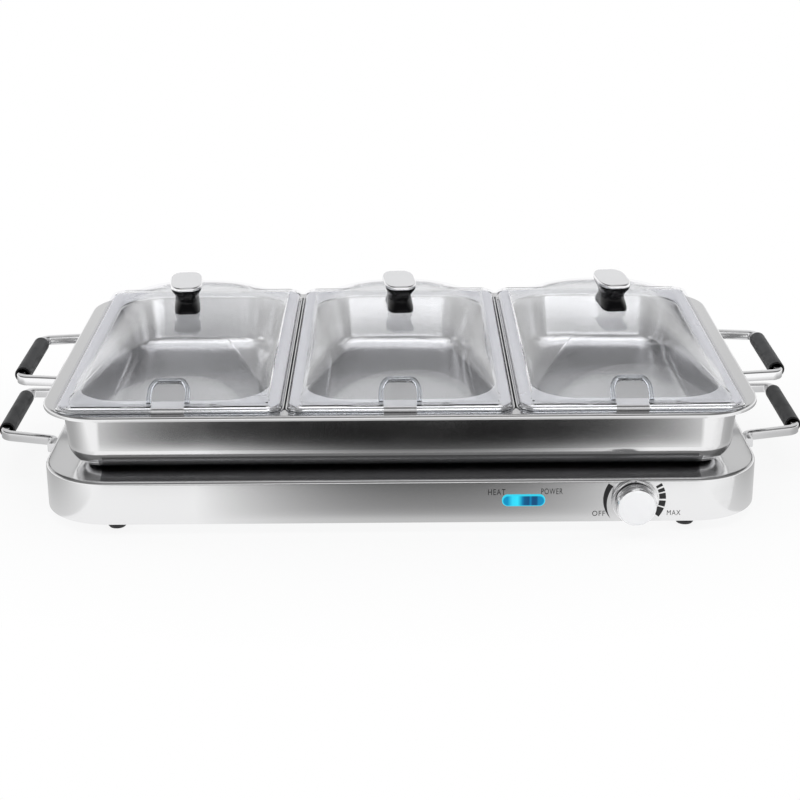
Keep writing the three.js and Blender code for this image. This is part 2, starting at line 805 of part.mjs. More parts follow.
// Handle bar in plan: foot along the wall, arm leaning in, cross bar, and the same back again.
// The bar stands off the wall by the clearance, and its arms may rise as they go out.
function handleBar(rise) {
  const wall = fit + barThickness / 2;
  const leanIn = (barReach - wall) * Math.tan(barLean);
  const half = [
    new THREE.Vector2(wall, -barHalfSpan - barThickness / 2 - barFootLength),
    new THREE.Vector2(wall, -barHalfSpan),
    new THREE.Vector2(barReach, -barHalfSpan + leanIn),
  ];
  const line = softened(
    [...half, ...half.map((p) => new THREE.Vector2(p.x, -p.y)).reverse()],
    [barFootBend, barBend, barBend, barFootBend],
  );
  const bar = slab(strip(line, barThickness), -barHeight / 2, barHeight / 2);
  const position = bar.attributes.position;
  for (let i = 0; i < position.count; i += 1) {
    const beyond = Math.max(0, position.getX(i) - wall - barThickness / 2);
    position.setZ(i, position.getZ(i) + beyond * Math.tan(rise));
  }
  return cut(bar, ...[-1, 1].map((end) =>
    pin(screwRadius + fit, -overrun, fit + handleScrewBite + fit, 'side')
      .translate(0, end * handleScrewOffset, 0)));
}

function grip() {
  const half = gripLength / 2;
  return turned([
    [gripBore, -half],
    [gripRadius - gripEdge, -half],
    [gripRadius, -half + gripEdge],
    [gripRadius, half - gripEdge],
    [gripRadius - gripEdge, half],
    [gripBore, half],
    [gripBore, -half],
  ], 'back', mediumTurnSteps);
}

// One handle: bar, grip and two screws from inside the wall.
function handle(owner, side, sign, wallX, wallSheet, height, rise) {
  const turn = sign > 0 ? 0 : Math.PI;
  const gripRise = (barReach - fit - barThickness) * Math.tan(rise);
  piece(`${owner}_handle_${side}`, handleBar(rise).rotateZ(turn), chrome, sign * wallX, 0, height);
  piece(`${owner}_grip_${side}`, grip(), blackGrip, sign * (wallX + barReach), 0, height + gripRise);
  const screwLength = wallSheet + 2 * fit + handleScrewBite;
  for (const [end, signY] of [['front', -1], ['rear', 1]]) {
    const body = screw(screwLength, screwHeadRadius, handleScrewHead, 'side').rotateZ(turn);
    const x = sign * (wallX - wallSheet - fit);
    piece(`${owner}_handle_screw_${end}_${side}`, body, zincSteel, x, signY * handleScrewOffset, height);
  }
}

for (const [side, sign] of leftAndRight) {
  handle('base', side, sign, baseWidth / 2, sheet, baseHandleMid, baseHandleRise);
}

// Frame: a deep tray with a wide flat rim and a short turned-down lip.
function frameTray() {
  const bodyWidth = rimWidth - 2 * rimOverhang;
  const bodyDepth = rimDepth - 2 * rimOverhang;
  const bodyCorner = rimCorner - rimOverhang;
  const body = (inset, z) =>
    level(bodyWidth - 2 * inset, bodyDepth - 2 * inset, bodyCorner - inset, z);
  const rim = (inset, z) =>
    level(rimWidth - 2 * inset, rimDepth - 2 * inset, rimCorner - inset, z);
  const floorWidth = bodyWidth - 2 * frameTaper;
  const floorDepth = bodyDepth - 2 * frameTaper;
  const floorCorner = bodyCorner - frameTaper;
  const outerFloor = roundedEdge(floorWidth, floorDepth, floorCorner, frameFloorRadius, frameBottom, -1);
  const innerFloor = roundedEdge(floorWidth - 2 * sheet, floorDepth - 2 * sheet, floorCorner - sheet,
    frameFloorRadius - sheet, frameBottom + sheet, -1);
  const skin = loft([
    ...outerFloor.reverse(),
    body(0, rimTop - lipDrop),
    body(0, rimTop - sheet),
    rim(sheet, rimTop - sheet),
    rim(sheet, rimTop - lipDrop),
    rim(0, rimTop - lipDrop),
    rim(0, rimTop - rimEdge),
    rim(rimEdge, rimTop),
    body(sheet, rimTop),
    body(sheet, rimTop - lipDrop),
    ...innerFloor,
  ]);
  return cut(skin, ...handleScrewHoles(frameWallX, frameHandleMid));
}
piece('frame_tray', frameTray(), brushedSteel);

// The frame wall leans in going down, so the screw heads sit that much further inside.
const frameWallTop = rimTop - lipDrop;
const frameWallBottom = frameBottom + frameFloorRadius;
const screwHeadDrop = frameWallTop - frameHandleMid + screwHeadRadius;
const frameWallLean = frameTaper * (screwHeadDrop / (frameWallTop - frameWallBottom));
for (const [side, sign] of leftAndRight) {
  handle('frame', side, sign, frameWallX, sheet + frameWallLean, frameHandleMid, frameHandleRise);
}

// Food pan: a flat flange with a turned-down lip, sloped walls and rounded floor.
function foodPan() {
  const mouthWidth = panWidth - 2 * panFlangeSide;
  const mouthDepth = panDepth - 2 * panFlangeEnd;
  const floorZ = panFlangeTop - panDeep;
  const wall = (inset, z) =>
    level(mouthWidth - 2 * inset, mouthDepth - 2 * inset, panMouthCorner - inset, z, tightCorners);
  const edge = (inset, z) =>
    level(panWidth - 2 * inset, panDepth - 2 * inset, panCorner - inset, z, tightCorners);
  const lipBottom = panFlangeTop - panLip;
  const innerTaper = panMouthRadius + panTaper;
  const floor = (extra, thickness) => roundedEdge(
    mouthWidth - 2 * innerTaper + 2 * extra,
    mouthDepth - 2 * innerTaper + 2 * extra,
    panMouthCorner - innerTaper + extra,
    panFloorRadius + extra,
    floorZ - thickness,
    -1,
    tightCorners,
  );
  return loft([
    ...floor(panSheet, panSheet).reverse(),
    wall(panMouthRadius - panSheet, panFlangeTop - panMouthRadius),
    wall(0, panFlangeTop - panSheet),
    edge(panSheet + panLipRadius, panFlangeTop - panSheet),
    edge(panSheet, panFlangeTop - panSheet - panLipRadius / 2),
    edge(panSheet, lipBottom),
    edge(0, lipBottom),
    edge(0, panFlangeTop - panLipRadius),
    edge(panLipRadius / 3, panFlangeTop - panLipRadius / 3),
    edge(panLipRadius, panFlangeTop),
    wall(0, panFlangeTop),
    wall(panMouthRadius, panFlangeTop - panMouthRadius),
    ...floor(0, 0),
  ]);
}

// Height of the dome over its foot: steep at the long sides, flatter along its length.
function domeSwell(x, y, width, depth) {
  const across = 1 - Math.min(1, 2 * Math.abs(x) / width) ** domeSidePower;
  const along = 1 - Math.min(1, 2 * Math.abs(y) / depth) ** domeEndPower;
  return across * along;
}

// Levels of the dome from near its foot to its crown, inset for the inner skin.
function domeLevels(inset, height, z) {
  const width = lidWidth - 2 * domeInset - 2 * inset;
  const depth = lidDepth - 2 * domeInset - 2 * inset;
  const foot = outline(width, depth, domeCorner - inset, domeDivision);
  return domeRingShares.map((share) => foot.map((p) => {
    const [x, y] = [p.x * share, p.y * share];
    return new THREE.Vector3(x, y, z + height * domeSwell(x, y, width, depth));
  }));
}

function lidShell(extra) {
  const skirt = (inset, z) =>
    level(lidWidth - 2 * inset, lidDepth - 2 * inset, lidCorner - inset, z, domeDivision);
  const foot = (inset, z) => {
    const width = lidWidth - 2 * (domeInset + inset);
    const depth = lidDepth - 2 * (domeInset + inset);
    return level(width, depth, domeCorner - inset, z, domeDivision);
  };
  const under = lidFlangeTop - lidWall;
  const skirtBottom = rimTop + skirtClearance;
  const innerWall = lidStep + skirtWall;
  return loft([
    ...domeLevels(lidWall, domeHeight, under).reverse(),
    foot(lidWall, under),
    skirt(innerWall, under),
    skirt(innerWall, lidFlangeTop - lidStepDrop - lidStep),
    skirt(skirtWall, lidFlangeTop - lidStepDrop - 2 * lidStep),
    skirt(skirtWall, skirtBottom),
    skirt(0, skirtBottom),
    skirt(0, lidFlangeTop - lidStepDrop),
    skirt(lidStep, lidFlangeTop - lidStepDrop),
    skirt(lidStep, lidFlangeTop - lidEdge),
    skirt(lidStep + lidEdge, lidFlangeTop),
    foot(-extra, lidFlangeTop),
    ...domeLevels(-extra, domeHeight + extra, lidFlangeTop),
  ]);
}

// Spoon notch: a squarish arch through the dome, flange and skirt, with a raised collar round it.
function archSlab(band, front, back) {
  const top = lidFlangeTop + notchRise + band;
  const bottom = rimTop - overrun;
  const half = notchWidth / 2 + band;
  const radius = notchCorner + band;
  const shape = [new THREE.Vector2(half, bottom)];
  for (const [side, start] of [[1, 0], [-1, Math.PI / 2]]) {
    for (let i = 0; i <= bendSteps; i += 1) {
      const angle = start + (i / bendSteps) * (Math.PI / 2);
      const x = side * (half - radius) + radius * Math.cos(angle);
      shape.push(new THREE.Vector2(x, top - radius + radius * Math.sin(angle)));
    }
  }
  shape.push(new THREE.Vector2(-half, bottom));
  return frontSlab(shape, front, back);
}

function lid() {
  const front = -lidDepth / 2;
  const plain = lidShell(0);
  const collar = common(lidShell(collarRise), archSlab(collarBand, front, front + notchReach));
  const notched = cut(join(plain, collar), archSlab(0, front - overrun, front + notchReach + overrun));
  const screwHole = pin(screwRadius + fit, lidFlangeTop, domeTop + overrun);
  return cut(notched, screwHole);
}

// Lid knob post: waisted across, long from front to back.
function knobPost() {
  const profileShares = [
    [0, 0],
    [0.16, 0.16],
    [0.34, 0.62],
    [0.5, 1],
    [0.68, 0.66],
    [0.86, 0.2],
    [1, 0],
  ];
  const levels = profileShares.map(([heightShare, waistShare]) => {
    const endWidth = THREE.MathUtils.lerp(postBaseWidth, postTopWidth, heightShare);
    const endLength = THREE.MathUtils.lerp(postBaseLength, postTopLength, heightShare);
    const width = THREE.MathUtils.lerp(endWidth, postWaistWidth, waistShare);
    const length = THREE.MathUtils.lerp(endLength, postWaistLength, waistShare);
    return level(width, length, width / 2 - fit, heightShare * postHeight, tightCorners);
  });
  return cut(loft(levels), pin(screwRadius + fit, -overrun, postHeight + overrun));
}

function knobCap() {
  const corner = capWidth / 2 - fit;
  const edge = (inset, z) =>
    level(capWidth - 2 * inset, capLength - 2 * inset, corner - inset, z, tightCorners);
  const plate = loft([
    edge(capEdge / 2, 0),
    edge(0, capEdge / 2),
    edge(0, capThickness - capEdge),
    edge(capEdge, capThickness),
  ]);
  return cut(plate, pin(screwRadius + fit, -overrun, capBite));
}

const postBottom = domeTop + fit;
const capBottom = postBottom + postHeight + fit;
const lidScrewSeat = domeTop - lidWall - fit;
panNames.forEach((name, i) => {
  const x = (i - (panNames.length - 1) / 2) * panPitch;
  piece(`food_pan_${name}`, foodPan(), polishedSteel, x);
  piece(`lid_${name}`, lid(), clearPlastic, x);
  piece(`lid_knob_post_${name}`, knobPost(), blackPlastic, x, 0, postBottom);
  piece(`lid_knob_cap_${name}`, knobCap(), chrome, x, 0, capBottom);
  piece(`lid_screw_${name}`, screw(capBottom + capBite - fit - lidScrewSeat), zincSteel, x, 0, lidScrewSeat);
});

export default model;
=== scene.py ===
# %% [markdown]
# This lesson dresses an electric buffet server: a low warming base, a deep frame that stands on it, three
# steel pans hung in the frame and a clear domed lid on each pan. The imported model already holds every place
# and size, so it is loaded first. Short helpers read the places that later cells build at.

# %% Load the imported model
import math

import bmesh
import bpy
from mathutils import Matrix, Vector


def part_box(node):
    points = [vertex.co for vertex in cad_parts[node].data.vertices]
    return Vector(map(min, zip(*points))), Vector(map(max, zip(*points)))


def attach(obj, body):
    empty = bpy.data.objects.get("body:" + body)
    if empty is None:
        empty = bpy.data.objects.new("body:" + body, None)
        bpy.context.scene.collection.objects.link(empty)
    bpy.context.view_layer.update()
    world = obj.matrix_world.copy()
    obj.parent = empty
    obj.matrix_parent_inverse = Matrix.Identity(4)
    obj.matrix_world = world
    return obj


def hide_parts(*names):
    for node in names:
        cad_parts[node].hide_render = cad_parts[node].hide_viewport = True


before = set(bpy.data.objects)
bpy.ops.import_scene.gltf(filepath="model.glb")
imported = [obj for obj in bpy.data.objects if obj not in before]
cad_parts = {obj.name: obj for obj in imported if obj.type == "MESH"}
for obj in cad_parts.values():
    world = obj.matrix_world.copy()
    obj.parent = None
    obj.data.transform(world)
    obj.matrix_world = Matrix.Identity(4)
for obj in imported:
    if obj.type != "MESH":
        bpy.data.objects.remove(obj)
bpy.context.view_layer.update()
MM = 0.001
SIDES = (("left", -1), ("right", 1))
OWNERS = ("base", "frame")
PANS = ("left", "middle", "right")


def in_mm(values):
    return [round(value / MM, 1) for value in values]


def corners(name):
    """The four nodes of a kind that stand in the corners."""
    return [f"{name}_{end}_{side}" for end in ("front", "rear") for side, _ in SIDES]


def middle_of(node):
    """The middle of a node's box."""
    low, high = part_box(node)
    return (low + high) / 2


def underside(node):
    """The middle of the underside of a node's box."""
    low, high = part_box(node)
    return (low.x + high.x) / 2, (low.y + high.y) / 2, low.z


# %% [markdown]
# The camera stands in front of the server and looks down at it by about twenty degrees. A long lens keeps
# the sides from spreading. The camera is turned by a matrix, because yaw, pitch and a slight roll are
# easiest to keep apart as three turns in a row.

# %% Camera
LENS_MM = 78.75
SENSOR_MM = 36.0
EYE = Vector((-0.0019, -1.502, 0.5941))
PITCH = math.radians(90 - 19.832)
YAW = math.radians(-0.0755)
ROLL = math.radians(-0.386)
NEAREST = 0.01

camera_data = bpy.data.cameras.new("studio_camera")
camera_data.lens = LENS_MM
camera_data.sensor_width = SENSOR_MM
camera_data.clip_start = NEAREST
camera = bpy.data.objects.new("studio_camera", camera_data)
bpy.context.scene.collection.objects.link(camera)
turns = Matrix.Rotation(YAW, 4, "Z") @ Matrix.Rotation(PITCH, 4, "X") @ Matrix.Rotation(ROLL, 4, "Z")
camera.matrix_world = Matrix.Translation(EYE) @ turns
bpy.context.scene.camera = camera
bpy.context.scene.view_settings.view_transform = "Standard"
print("camera at", tuple(round(v, 3) for v in camera.matrix_world.translation))

# %% [markdown]
# A few short helpers serve every node tree that follows. Two of them place a node and fill its inputs. The
# others use these for arithmetic, a new range, a colour ramp from places and colours, a mix of two shaders,
# noise, and the parts of a vector.

# %% Node helpers


def emptied(owner):
    """The node tree of a world or a material, without its first nodes."""
    owner.use_nodes = True
    owner.node_tree.nodes.clear()
    return owner.node_tree


def fed(tree, node, inputs):
    """Fills inputs by name or number: a socket is linked, and any other value is set."""
    for label, value in inputs.items():
        if isinstance(value, bpy.types.NodeSocket):
            tree.links.new(value, node.inputs[label])
        else:
            node.inputs[label].default_value = value
    return node


def new_node(tree, kind, inputs=None, **settings):
    node = tree.nodes.new(f"ShaderNode{kind}")
    for label, value in settings.items():
        setattr(node, label, value)
    return fed(tree, node, inputs or {})


def calculate(tree, operation, *values):
    """One Math node. Each value is a number or a socket."""
    return new_node(tree, "Math", dict(enumerate(values)), operation=operation).outputs[0]


def ranged(tree, value, old, new, smooth=False, clamp=True):
    """One Map Range node, from an old range to a new one."""
    ends = zip(("From Min", "From Max", "To Min", "To Max"), (*old, *new))
    easing = "SMOOTHSTEP" if smooth else "LINEAR"
    node = new_node(tree, "MapRange", dict(ends), interpolation_type=easing, clamp=clamp)
    return fed(tree, node, {"Value": value}).outputs[0]


def banded(tree, value, bands, ease="LINEAR"):
    """One colour ramp along a value, from places and colours."""
    ramp = new_node(tree, "ValToRGB", {"Fac": value})
    ramp.color_ramp.interpolation = ease
    stops = ramp.color_ramp.elements
    while len(stops) < len(bands):
        stops.new(0.5)
    for stop, (place, colour) in zip(stops, bands):
        stop.position = place
        stop.color = (*colour, 1)
    return ramp.outputs["Color"]


def mixed(tree, share, first, second):
    """One mix of two shaders. The share is how much of the second there is."""
    return new_node(tree, "MixShader", {0: share, 1: first, 2: second}).outputs[0]


def noised(tree, point, scale, detail, **more):
    """Noise between 0 and 1 in a space."""
    return new_node(tree, "TexNoise", {"Vector": point, "Scale": scale, "Detail": detail, **more}).outputs[0]


def split(tree, vector):
    """The X, Y and Z of a vector."""
    return new_node(tree, "SeparateXYZ", {0: vector}).outputs


# %% [markdown]
# A studio is white where the camera, a mirror or a clear lid looks past the object, and only moderately
# bright where it lights the object. Light Path tells these rays apart, so one node chain serves the world,
# the floor and the cards: it is 1 for camera, glossy and transmission rays and 0 for the others.

# %% Seen-ray mask


def seen_rays(tree):
    """A socket that is 1 for rays that look at the studio and 0 for rays that carry its light."""
    path = new_node(tree, "LightPath").outputs
    looks = calculate(tree, "MAXIMUM", path["Is Camera Ray"], path["Is Glossy Ray"])
    return calculate(tree, "MAXIMUM", looks, path["Is Transmission Ray"])


# %% [markdown]
# The world has two backgrounds: a plain grey one that fills the shadows, and one that is only seen. The seen
# one is white for the camera and through clear plastic. Steel sees it with a dark band high up behind the
# server, between the backdrop and the soft light overhead, so that rounded edges get a thin dark line. In
# front of the server the dark of the room begins lower down. A place in a sky is the sine of the angle that
# it has above the floor.

# %% World
FILL_STRENGTH = 0.5
FILL_COLOUR = (0.97, 0.98, 1.0, 1)
WHITE = (1, 1, 1, 1)
REAR_SKY = ((0.0, 1.0), (0.15, 0.9), (0.34, 0.62), (0.47, 0.58), (0.55, 0.1), (0.93, 0.1), (0.98, 0.95))
FRONT_SKY = ((0.0, 1.0), (0.09, 1.0), (0.18, 0.2), (0.94, 0.2), (0.98, 0.95))
REARWARD = (-0.2, 0.2)


def greys(bands):
    return [(place, (grey, grey, grey)) for place, grey in bands]


def backdrop(tree, colour, strength=1.0):
    return new_node(tree, "Background", {"Color": colour, "Strength": strength}).outputs[0]


def mirrored_sky(tree):
    """The grey that a mirror sees, by how far up and how far to the rear its ray goes."""
    _, rearward, up = split(tree, new_node(tree, "TexCoord").outputs["Generated"])
    rear, front = [banded(tree, up, greys(sky), "EASE") for sky in (REAR_SKY, FRONT_SKY)]
    behind = ranged(tree, rearward, REARWARD, (0, 1), smooth=True)
    return calculate(tree, "MULTIPLY_ADD", behind, calculate(tree, "SUBTRACT", rear, front), front)


world = bpy.data.worlds.new("studio_world")
bpy.context.scene.world = world
tree = emptied(world)
mirror_ray = new_node(tree, "LightPath").outputs["Is Glossy Ray"]
seen = mixed(tree, mirror_ray, backdrop(tree, WHITE), backdrop(tree, mirrored_sky(tree)))
both = mixed(tree, seen_rays(tree), backdrop(tree, FILL_COLOUR, FILL_STRENGTH), seen)
new_node(tree, "OutputWorld", {0: both})
print("world fill", FILL_STRENGTH)

# %% [markdown]
# The floor is pale and flat. Close to the object it is partly lit and partly glowing, so that the contact
# shadow stays as a soft grey. Further out the glow takes over and the floor fades into the white world. The
# distance is measured in an oval that just holds the base, so the fade follows the object's long shape.

# %% Floor
FLOOR_SIZE = 16.0
FLOOR_DROP = 0.0002
FLOOR_TONE = (0.93, 0.93, 0.93, 1)
SHADOW_SHARE = 0.13
SHADOW_OVAL = (0.40, 0.26, 1)
SHADOW_REACH = (0.9, 1.5)


def stood(bm, name):
    """Makes an object of a finished bmesh and puts it in the scene."""
    mesh = bpy.data.meshes.new(name)
    bm.to_mesh(mesh)
    bm.free()
    obj = bpy.data.objects.new(name, mesh)
    bpy.context.scene.collection.objects.link(obj)
    return obj


def flat_sheet(name, width, depth, centre):
    """A flat rectangle with its place in its mesh."""
    bm = bmesh.new()
    grid = bmesh.ops.create_grid(bm, x_segments=1, y_segments=1, size=0.5)
    bmesh.ops.scale(bm, vec=(width, depth, 1), verts=grid["verts"])
    bmesh.ops.translate(bm, vec=centre, verts=grid["verts"])
    return stood(bm, name)


def floor_material():
    made = bpy.data.materials.new("studio_floor")
    tree = emptied(made)
    point = new_node(tree, "TexCoord").outputs["Object"]
    oval = new_node(tree, "VectorMath", {0: point, 1: SHADOW_OVAL}, operation="DIVIDE")
    length = new_node(tree, "VectorMath", {0: oval.outputs[0]}, operation="LENGTH").outputs["Value"]
    share = ranged(tree, length, SHADOW_REACH, (1 - SHADOW_SHARE, 1))
    lit = new_node(tree, "BsdfDiffuse", {"Color": FLOOR_TONE}).outputs[0]
    glow = new_node(tree, "Emission").outputs[0]
    glows = calculate(tree, "MULTIPLY", seen_rays(tree), share)
    new_node(tree, "OutputMaterial", {0: mixed(tree, glows, lit, glow)})
    return made


floor = flat_sheet("studio_floor", FLOOR_SIZE, FLOOR_SIZE, (0, 0, -FLOOR_DROP))
floor.data.materials.append(floor_material())
print("floor", FLOOR_SIZE, "m")

# %% [markdown]
# Steel shows what stands around it. In the studio, dark cloth lies a hand's width from each side of the
# server, so its long walls turn dark in the middle while the rounded corners stay bright. Four cards that
# only mirrors can see give that. Close to the server, where the base looks, the cloth is narrow and grey.
# Further out, where the frame looks, it is wide and black, and beyond that it fades into the white floor.

# %% Dark cards for the steel to mirror
CARD_LIFT = 0.0004
CARD_NEAR = 0.004
CARD_FAR = 0.5
CARD_JOIN = (0.112, 0.122)
CAMERA_GAP = 1.32
LONG_CARD = {
    "near": (0.025, 0.195, 2.4),
    "far": (0.0, 0.285, 6),
    "tones": ((0.0, 0.60), (0.028, 0.58), (0.037, 0.38), (0.05, 0.28), (0.11, 0.14), (0.125, 0.0),
              (0.19, 0.0), (0.265, 0.4), (0.45, 1.0)),
}
END_CARD = {
    "near": (0.0, 0.26, 3),
    "far": (0.0, 0.26, 3),
    "tones": ((0.0, 0.65), (0.12, 0.4), (0.25, 0.4), (0.45, 1.0)),
}


def opening(tree, across, spread, centre, edge, power):
    """How far a card is open at a place: 0 in its middle and 1 at its edge."""
    aside = calculate(tree, "ABSOLUTE", calculate(tree, "SUBTRACT", across, centre))
    share = calculate(tree, "DIVIDE", aside, calculate(tree, "MULTIPLY", spread, edge))
    return calculate(tree, "MINIMUM", calculate(tree, "POWER", share, power), 1)


def card_material(plane, look):
    """Dark in the middle and clear at the sides. The sides spread with distance, as a mirror image does."""
    made = bpy.data.materials.new("studio_card")
    tree = emptied(made)
    across, along, _ = split(tree, new_node(tree, "TexCoord").outputs["Object"])
    away = ranged(tree, along, (-plane, -plane - 1), (0, 1), clamp=False)
    spread = ranged(tree, away, (0, CAMERA_GAP), (1, 2), clamp=False)
    near, far = [opening(tree, across, spread, *look[part]) for part in ("near", "far")]
    join = ranged(tree, away, CARD_JOIN, (0, 1), smooth=True)
    opened = calculate(tree, "MULTIPLY_ADD", join, calculate(tree, "SUBTRACT", far, near), near)
    tones = greys([(metres / CARD_FAR, grey) for metres, grey in look["tones"]])
    shade = banded(tree, ranged(tree, away, (0, CARD_FAR), (0, 1)), tones)
    dark = new_node(tree, "Emission", {"Color": shade}).outputs[0]
    clear = new_node(tree, "BsdfTransparent").outputs[0]
    new_node(tree, "OutputMaterial", {0: mixed(tree, opened, dark, clear)})
    return made


def floor_card(name, plane, look, turn):
    """A card on the floor, beyond one side of the base. The turn leads from the front to that side."""
    middle = -plane - (CARD_NEAR + CARD_FAR) / 2
    card = flat_sheet(name, 4 * CARD_FAR, CARD_FAR - CARD_NEAR, (0, middle, CARD_LIFT))
    card.rotation_euler.z = math.radians(turn)
    card.data.materials.append(card_material(plane, look))
    for rays in ("camera", "diffuse", "shadow", "transmission"):
        setattr(card, f"visible_{rays}", False)
    return card


base_low, base_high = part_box("base_shell")
front_plane = base_low.y
rear_plane = base_high.y
cards = [
    floor_card("front_card", -front_plane, LONG_CARD, 0),
    floor_card("rear_card", rear_plane, LONG_CARD, 180),
    floor_card("left_card", -base_low.x, END_CARD, 270),
    floor_card("right_card", base_high.x, END_CARD, 90),
]
print("cards", [card.name for card in cards])

# %% [markdown]
# One large soft box hangs over the server, and two weaker ones stand at the left and in front. Their level is
# set so that a colour renders about as it is written: a white card would come out just under white. Mirrors
# don't see the boxes themselves, because the world already holds what the steel should show.

# %% Lamps
SOFT_BOXES = {
    "top_box": {"size": (2.2, 1.6), "watts": 13.0, "at": (0.1, -0.25, 1.75), "look": (0, 0, 0)},
    "left_box": {"size": (0.7, 1.2), "watts": 3.0, "at": (-1.7, -0.5, 0.9), "look": (0, 0, 0.05)},
    "front_box": {"size": (1.2, 0.7), "watts": 7.0, "at": (0.3, -1.75, 0.4), "look": (0.1, -0.2, 0.05)},
}

for name, box in SOFT_BOXES.items():
    data = bpy.data.lights.new(name, "AREA")
    data.shape = "RECTANGLE"
    data.size, data.size_y = box["size"]
    data.energy = box["watts"]
    lamp = bpy.data.objects.new(name, data)
    bpy.context.scene.collection.objects.link(lamp)
    aim = Vector(box["look"]) - Vector(box["at"])
    lamp.matrix_world = Matrix.Translation(box["at"]) @ aim.to_track_quat("-Z", "Y").to_matrix().to_4x4()
    lamp.visible_glossy = False
    print(name, data.energy, "W")

# %% [markdown]
# Brushed sheet, moulded plastic and handled metal each repeat one effect in several finishes, so every
# effect is a node group that is built once. A group only puts out colours and values; the shader itself
# stays in each material, where its own sockets are set.

# %% Shader groups
SOCKET_KINDS = {type(None): "NodeSocketVector", float: "NodeSocketFloat", tuple: "NodeSocketColor"}


def shader_group(name, inputs, outputs):
    """An empty group. The kind of a socket follows its value, and an input with no value is a vector."""
    group = bpy.data.node_groups.new(name, "ShaderNodeTree")
    sockets = group.interface
    for label, value in inputs.items():
        socket = sockets.new_socket(name=label, in_out="INPUT", socket_type=SOCKET_KINDS[type(value)])
        if value is not None:
            socket.default_value = value
    for label, value in outputs.items():
        sockets.new_socket(name=label, in_out="OUTPUT", socket_type=SOCKET_KINDS[type(value)])
    return group, group.nodes.new("NodeGroupInput").outputs, group.nodes.new("NodeGroupOutput")


def varied(group, given, end, swing):
    """Lets the tone and the roughness that a group is given follow a swing about zero."""
    rough = calculate(group, "MULTIPLY_ADD", swing, given["Roughness Spread"], given["Roughness"])
    tone = calculate(group, "MULTIPLY_ADD", swing, given["Tone Spread"], 1)
    shade = new_node(group, "VectorMath", {0: given["Tone"], "Scale": tone}, operation="SCALE").outputs[0]
    fed(group, end, {"Color": shade, "Roughness": rough})


VARIED_INPUTS = {"Tone": (0.8, 0.8, 0.8, 1), "Tone Spread": 0.1, "Roughness": 0.3, "Roughness Spread": 0.1}
SURFACE = {"Color": (0.8, 0.8, 0.8, 1), "Roughness": 0.3, "Height": 0.0}

# %% [markdown]
# Brushing leaves long fine scratches. Noise becomes scratches when its space is squeezed across the grain:
# on upright walls the grain runs round the object, and on flat tops it runs from left to right, so the
# squeeze depends on how far the surface faces up. Flat tops are seen at a low angle, so their scratches are
# made shallower.

# %% Group: brushed grain
FACES_UP = 0.7
SHALLOWER = -0.7
GRAIN_DETAIL = 4
GRAIN_ROUGHNESS = 0.65


def brushed_grain():
    inputs = {"Point": None, "Facing Up": 0.0, "Fineness": 45.0, "Squeeze": 150.0, **VARIED_INPUTS}
    group, given, end = shader_group("brushed_grain", inputs, SURFACE)
    top = calculate(group, "GREATER_THAN", given["Facing Up"], FACES_UP)
    across = calculate(group, "MULTIPLY_ADD", top, calculate(group, "SUBTRACT", given["Squeeze"], 1), 1)
    squeeze = new_node(group, "CombineXYZ", {"X": 1, "Y": across, "Z": given["Squeeze"]}).outputs[0]
    space = new_node(group, "VectorMath", {0: given["Point"], 1: squeeze}, operation="MULTIPLY").outputs[0]
    noise = noised(group, space, given["Fineness"], GRAIN_DETAIL, Roughness=GRAIN_ROUGHNESS)
    varied(group, given, end, calculate(group, "SUBTRACT", noise, 0.5))
    depth = calculate(group, "MULTIPLY_ADD", top, SHALLOWER, 1)
    fed(group, end, {"Height": calculate(group, "MULTIPLY", noise, depth)})
    return group


BRUSHED_GRAIN = brushed_grain()
print("group", BRUSHED_GRAIN.name)

# %% [markdown]
# Handled metal and plastic carry faint smears. Soft noise, stretched between two levels, makes patches, and
# each material uses them to make itself slightly duller there.

# %% Group: handling marks
SMEAR_LEVELS = (0.45, 0.7)
SMEAR_DETAIL = 3
SMEAR_DISTORTION = 0.6


def handling_marks():
    inputs = {"Point": None, "Scale": 14.0, "Value": 0.2, "Amount": 0.1}
    group, given, end = shader_group("handling_marks", inputs, {"Value": 0.2})
    noise = noised(group, given["Point"], given["Scale"], SMEAR_DETAIL, Distortion=SMEAR_DISTORTION)
    patch = ranged(group, noise, SMEAR_LEVELS, (0, 1))
    fed(group, end, {"Value": calculate(group, "MULTIPLY_ADD", patch, given["Amount"], given["Value"])})
    return group


HANDLING_MARKS = handling_marks()
print("group", HANDLING_MARKS.name)

# %% [markdown]
# A moulded surface is never quite flat: it keeps a fine pebble from the tool. The group mixes small noise
# with slow noise, so the same group serves soft rubber at a large height and hard plastic at a small one.

# %% Group: moulded skin
SLOW_SHARE = 0.06
SKIN_DETAIL = 2


def moulded_skin():
    inputs = {"Point": None, "Scale": 900.0, **VARIED_INPUTS}
    group, given, end = shader_group("moulded_skin", inputs, SURFACE)
    slower = calculate(group, "MULTIPLY", given["Scale"], SLOW_SHARE)
    fine, slow = [noised(group, given["Point"], scale, SKIN_DETAIL) for scale in (given["Scale"], slower)]
    varied(group, given, end, calculate(group, "SUBTRACT", slow, 0.5))
    fed(group, end, {"Height": fine})
    return group


MOULDED_SKIN = moulded_skin()
print("group", MOULDED_SKIN.name)

# %% [markdown]
# A few short functions turn the groups into finishes. Each one places the groups with its own values, feeds
# the shader's colour, roughness and bump, and sets what is the same all over on the shader's own sockets.

# %% Finish builders
BUMP_STRENGTH = 0.6
GRAIN_TURN = 0.25
BRUSHED_SMEARS = {"amount": 0.02}
METAL_SMEAR_SCALE = 40.0
METAL_SPREAD = 0.06
MOULD_SMEAR_SCALE = 60.0


def blank_finish(name):
    made = bpy.data.materials.new(name)
    tree = emptied(made)
    shader = new_node(tree, "BsdfPrincipled")
    new_node(tree, "OutputMaterial", {0: shader.outputs[0]})
    return made, tree, shader, new_node(tree, "TexCoord").outputs["Object"]


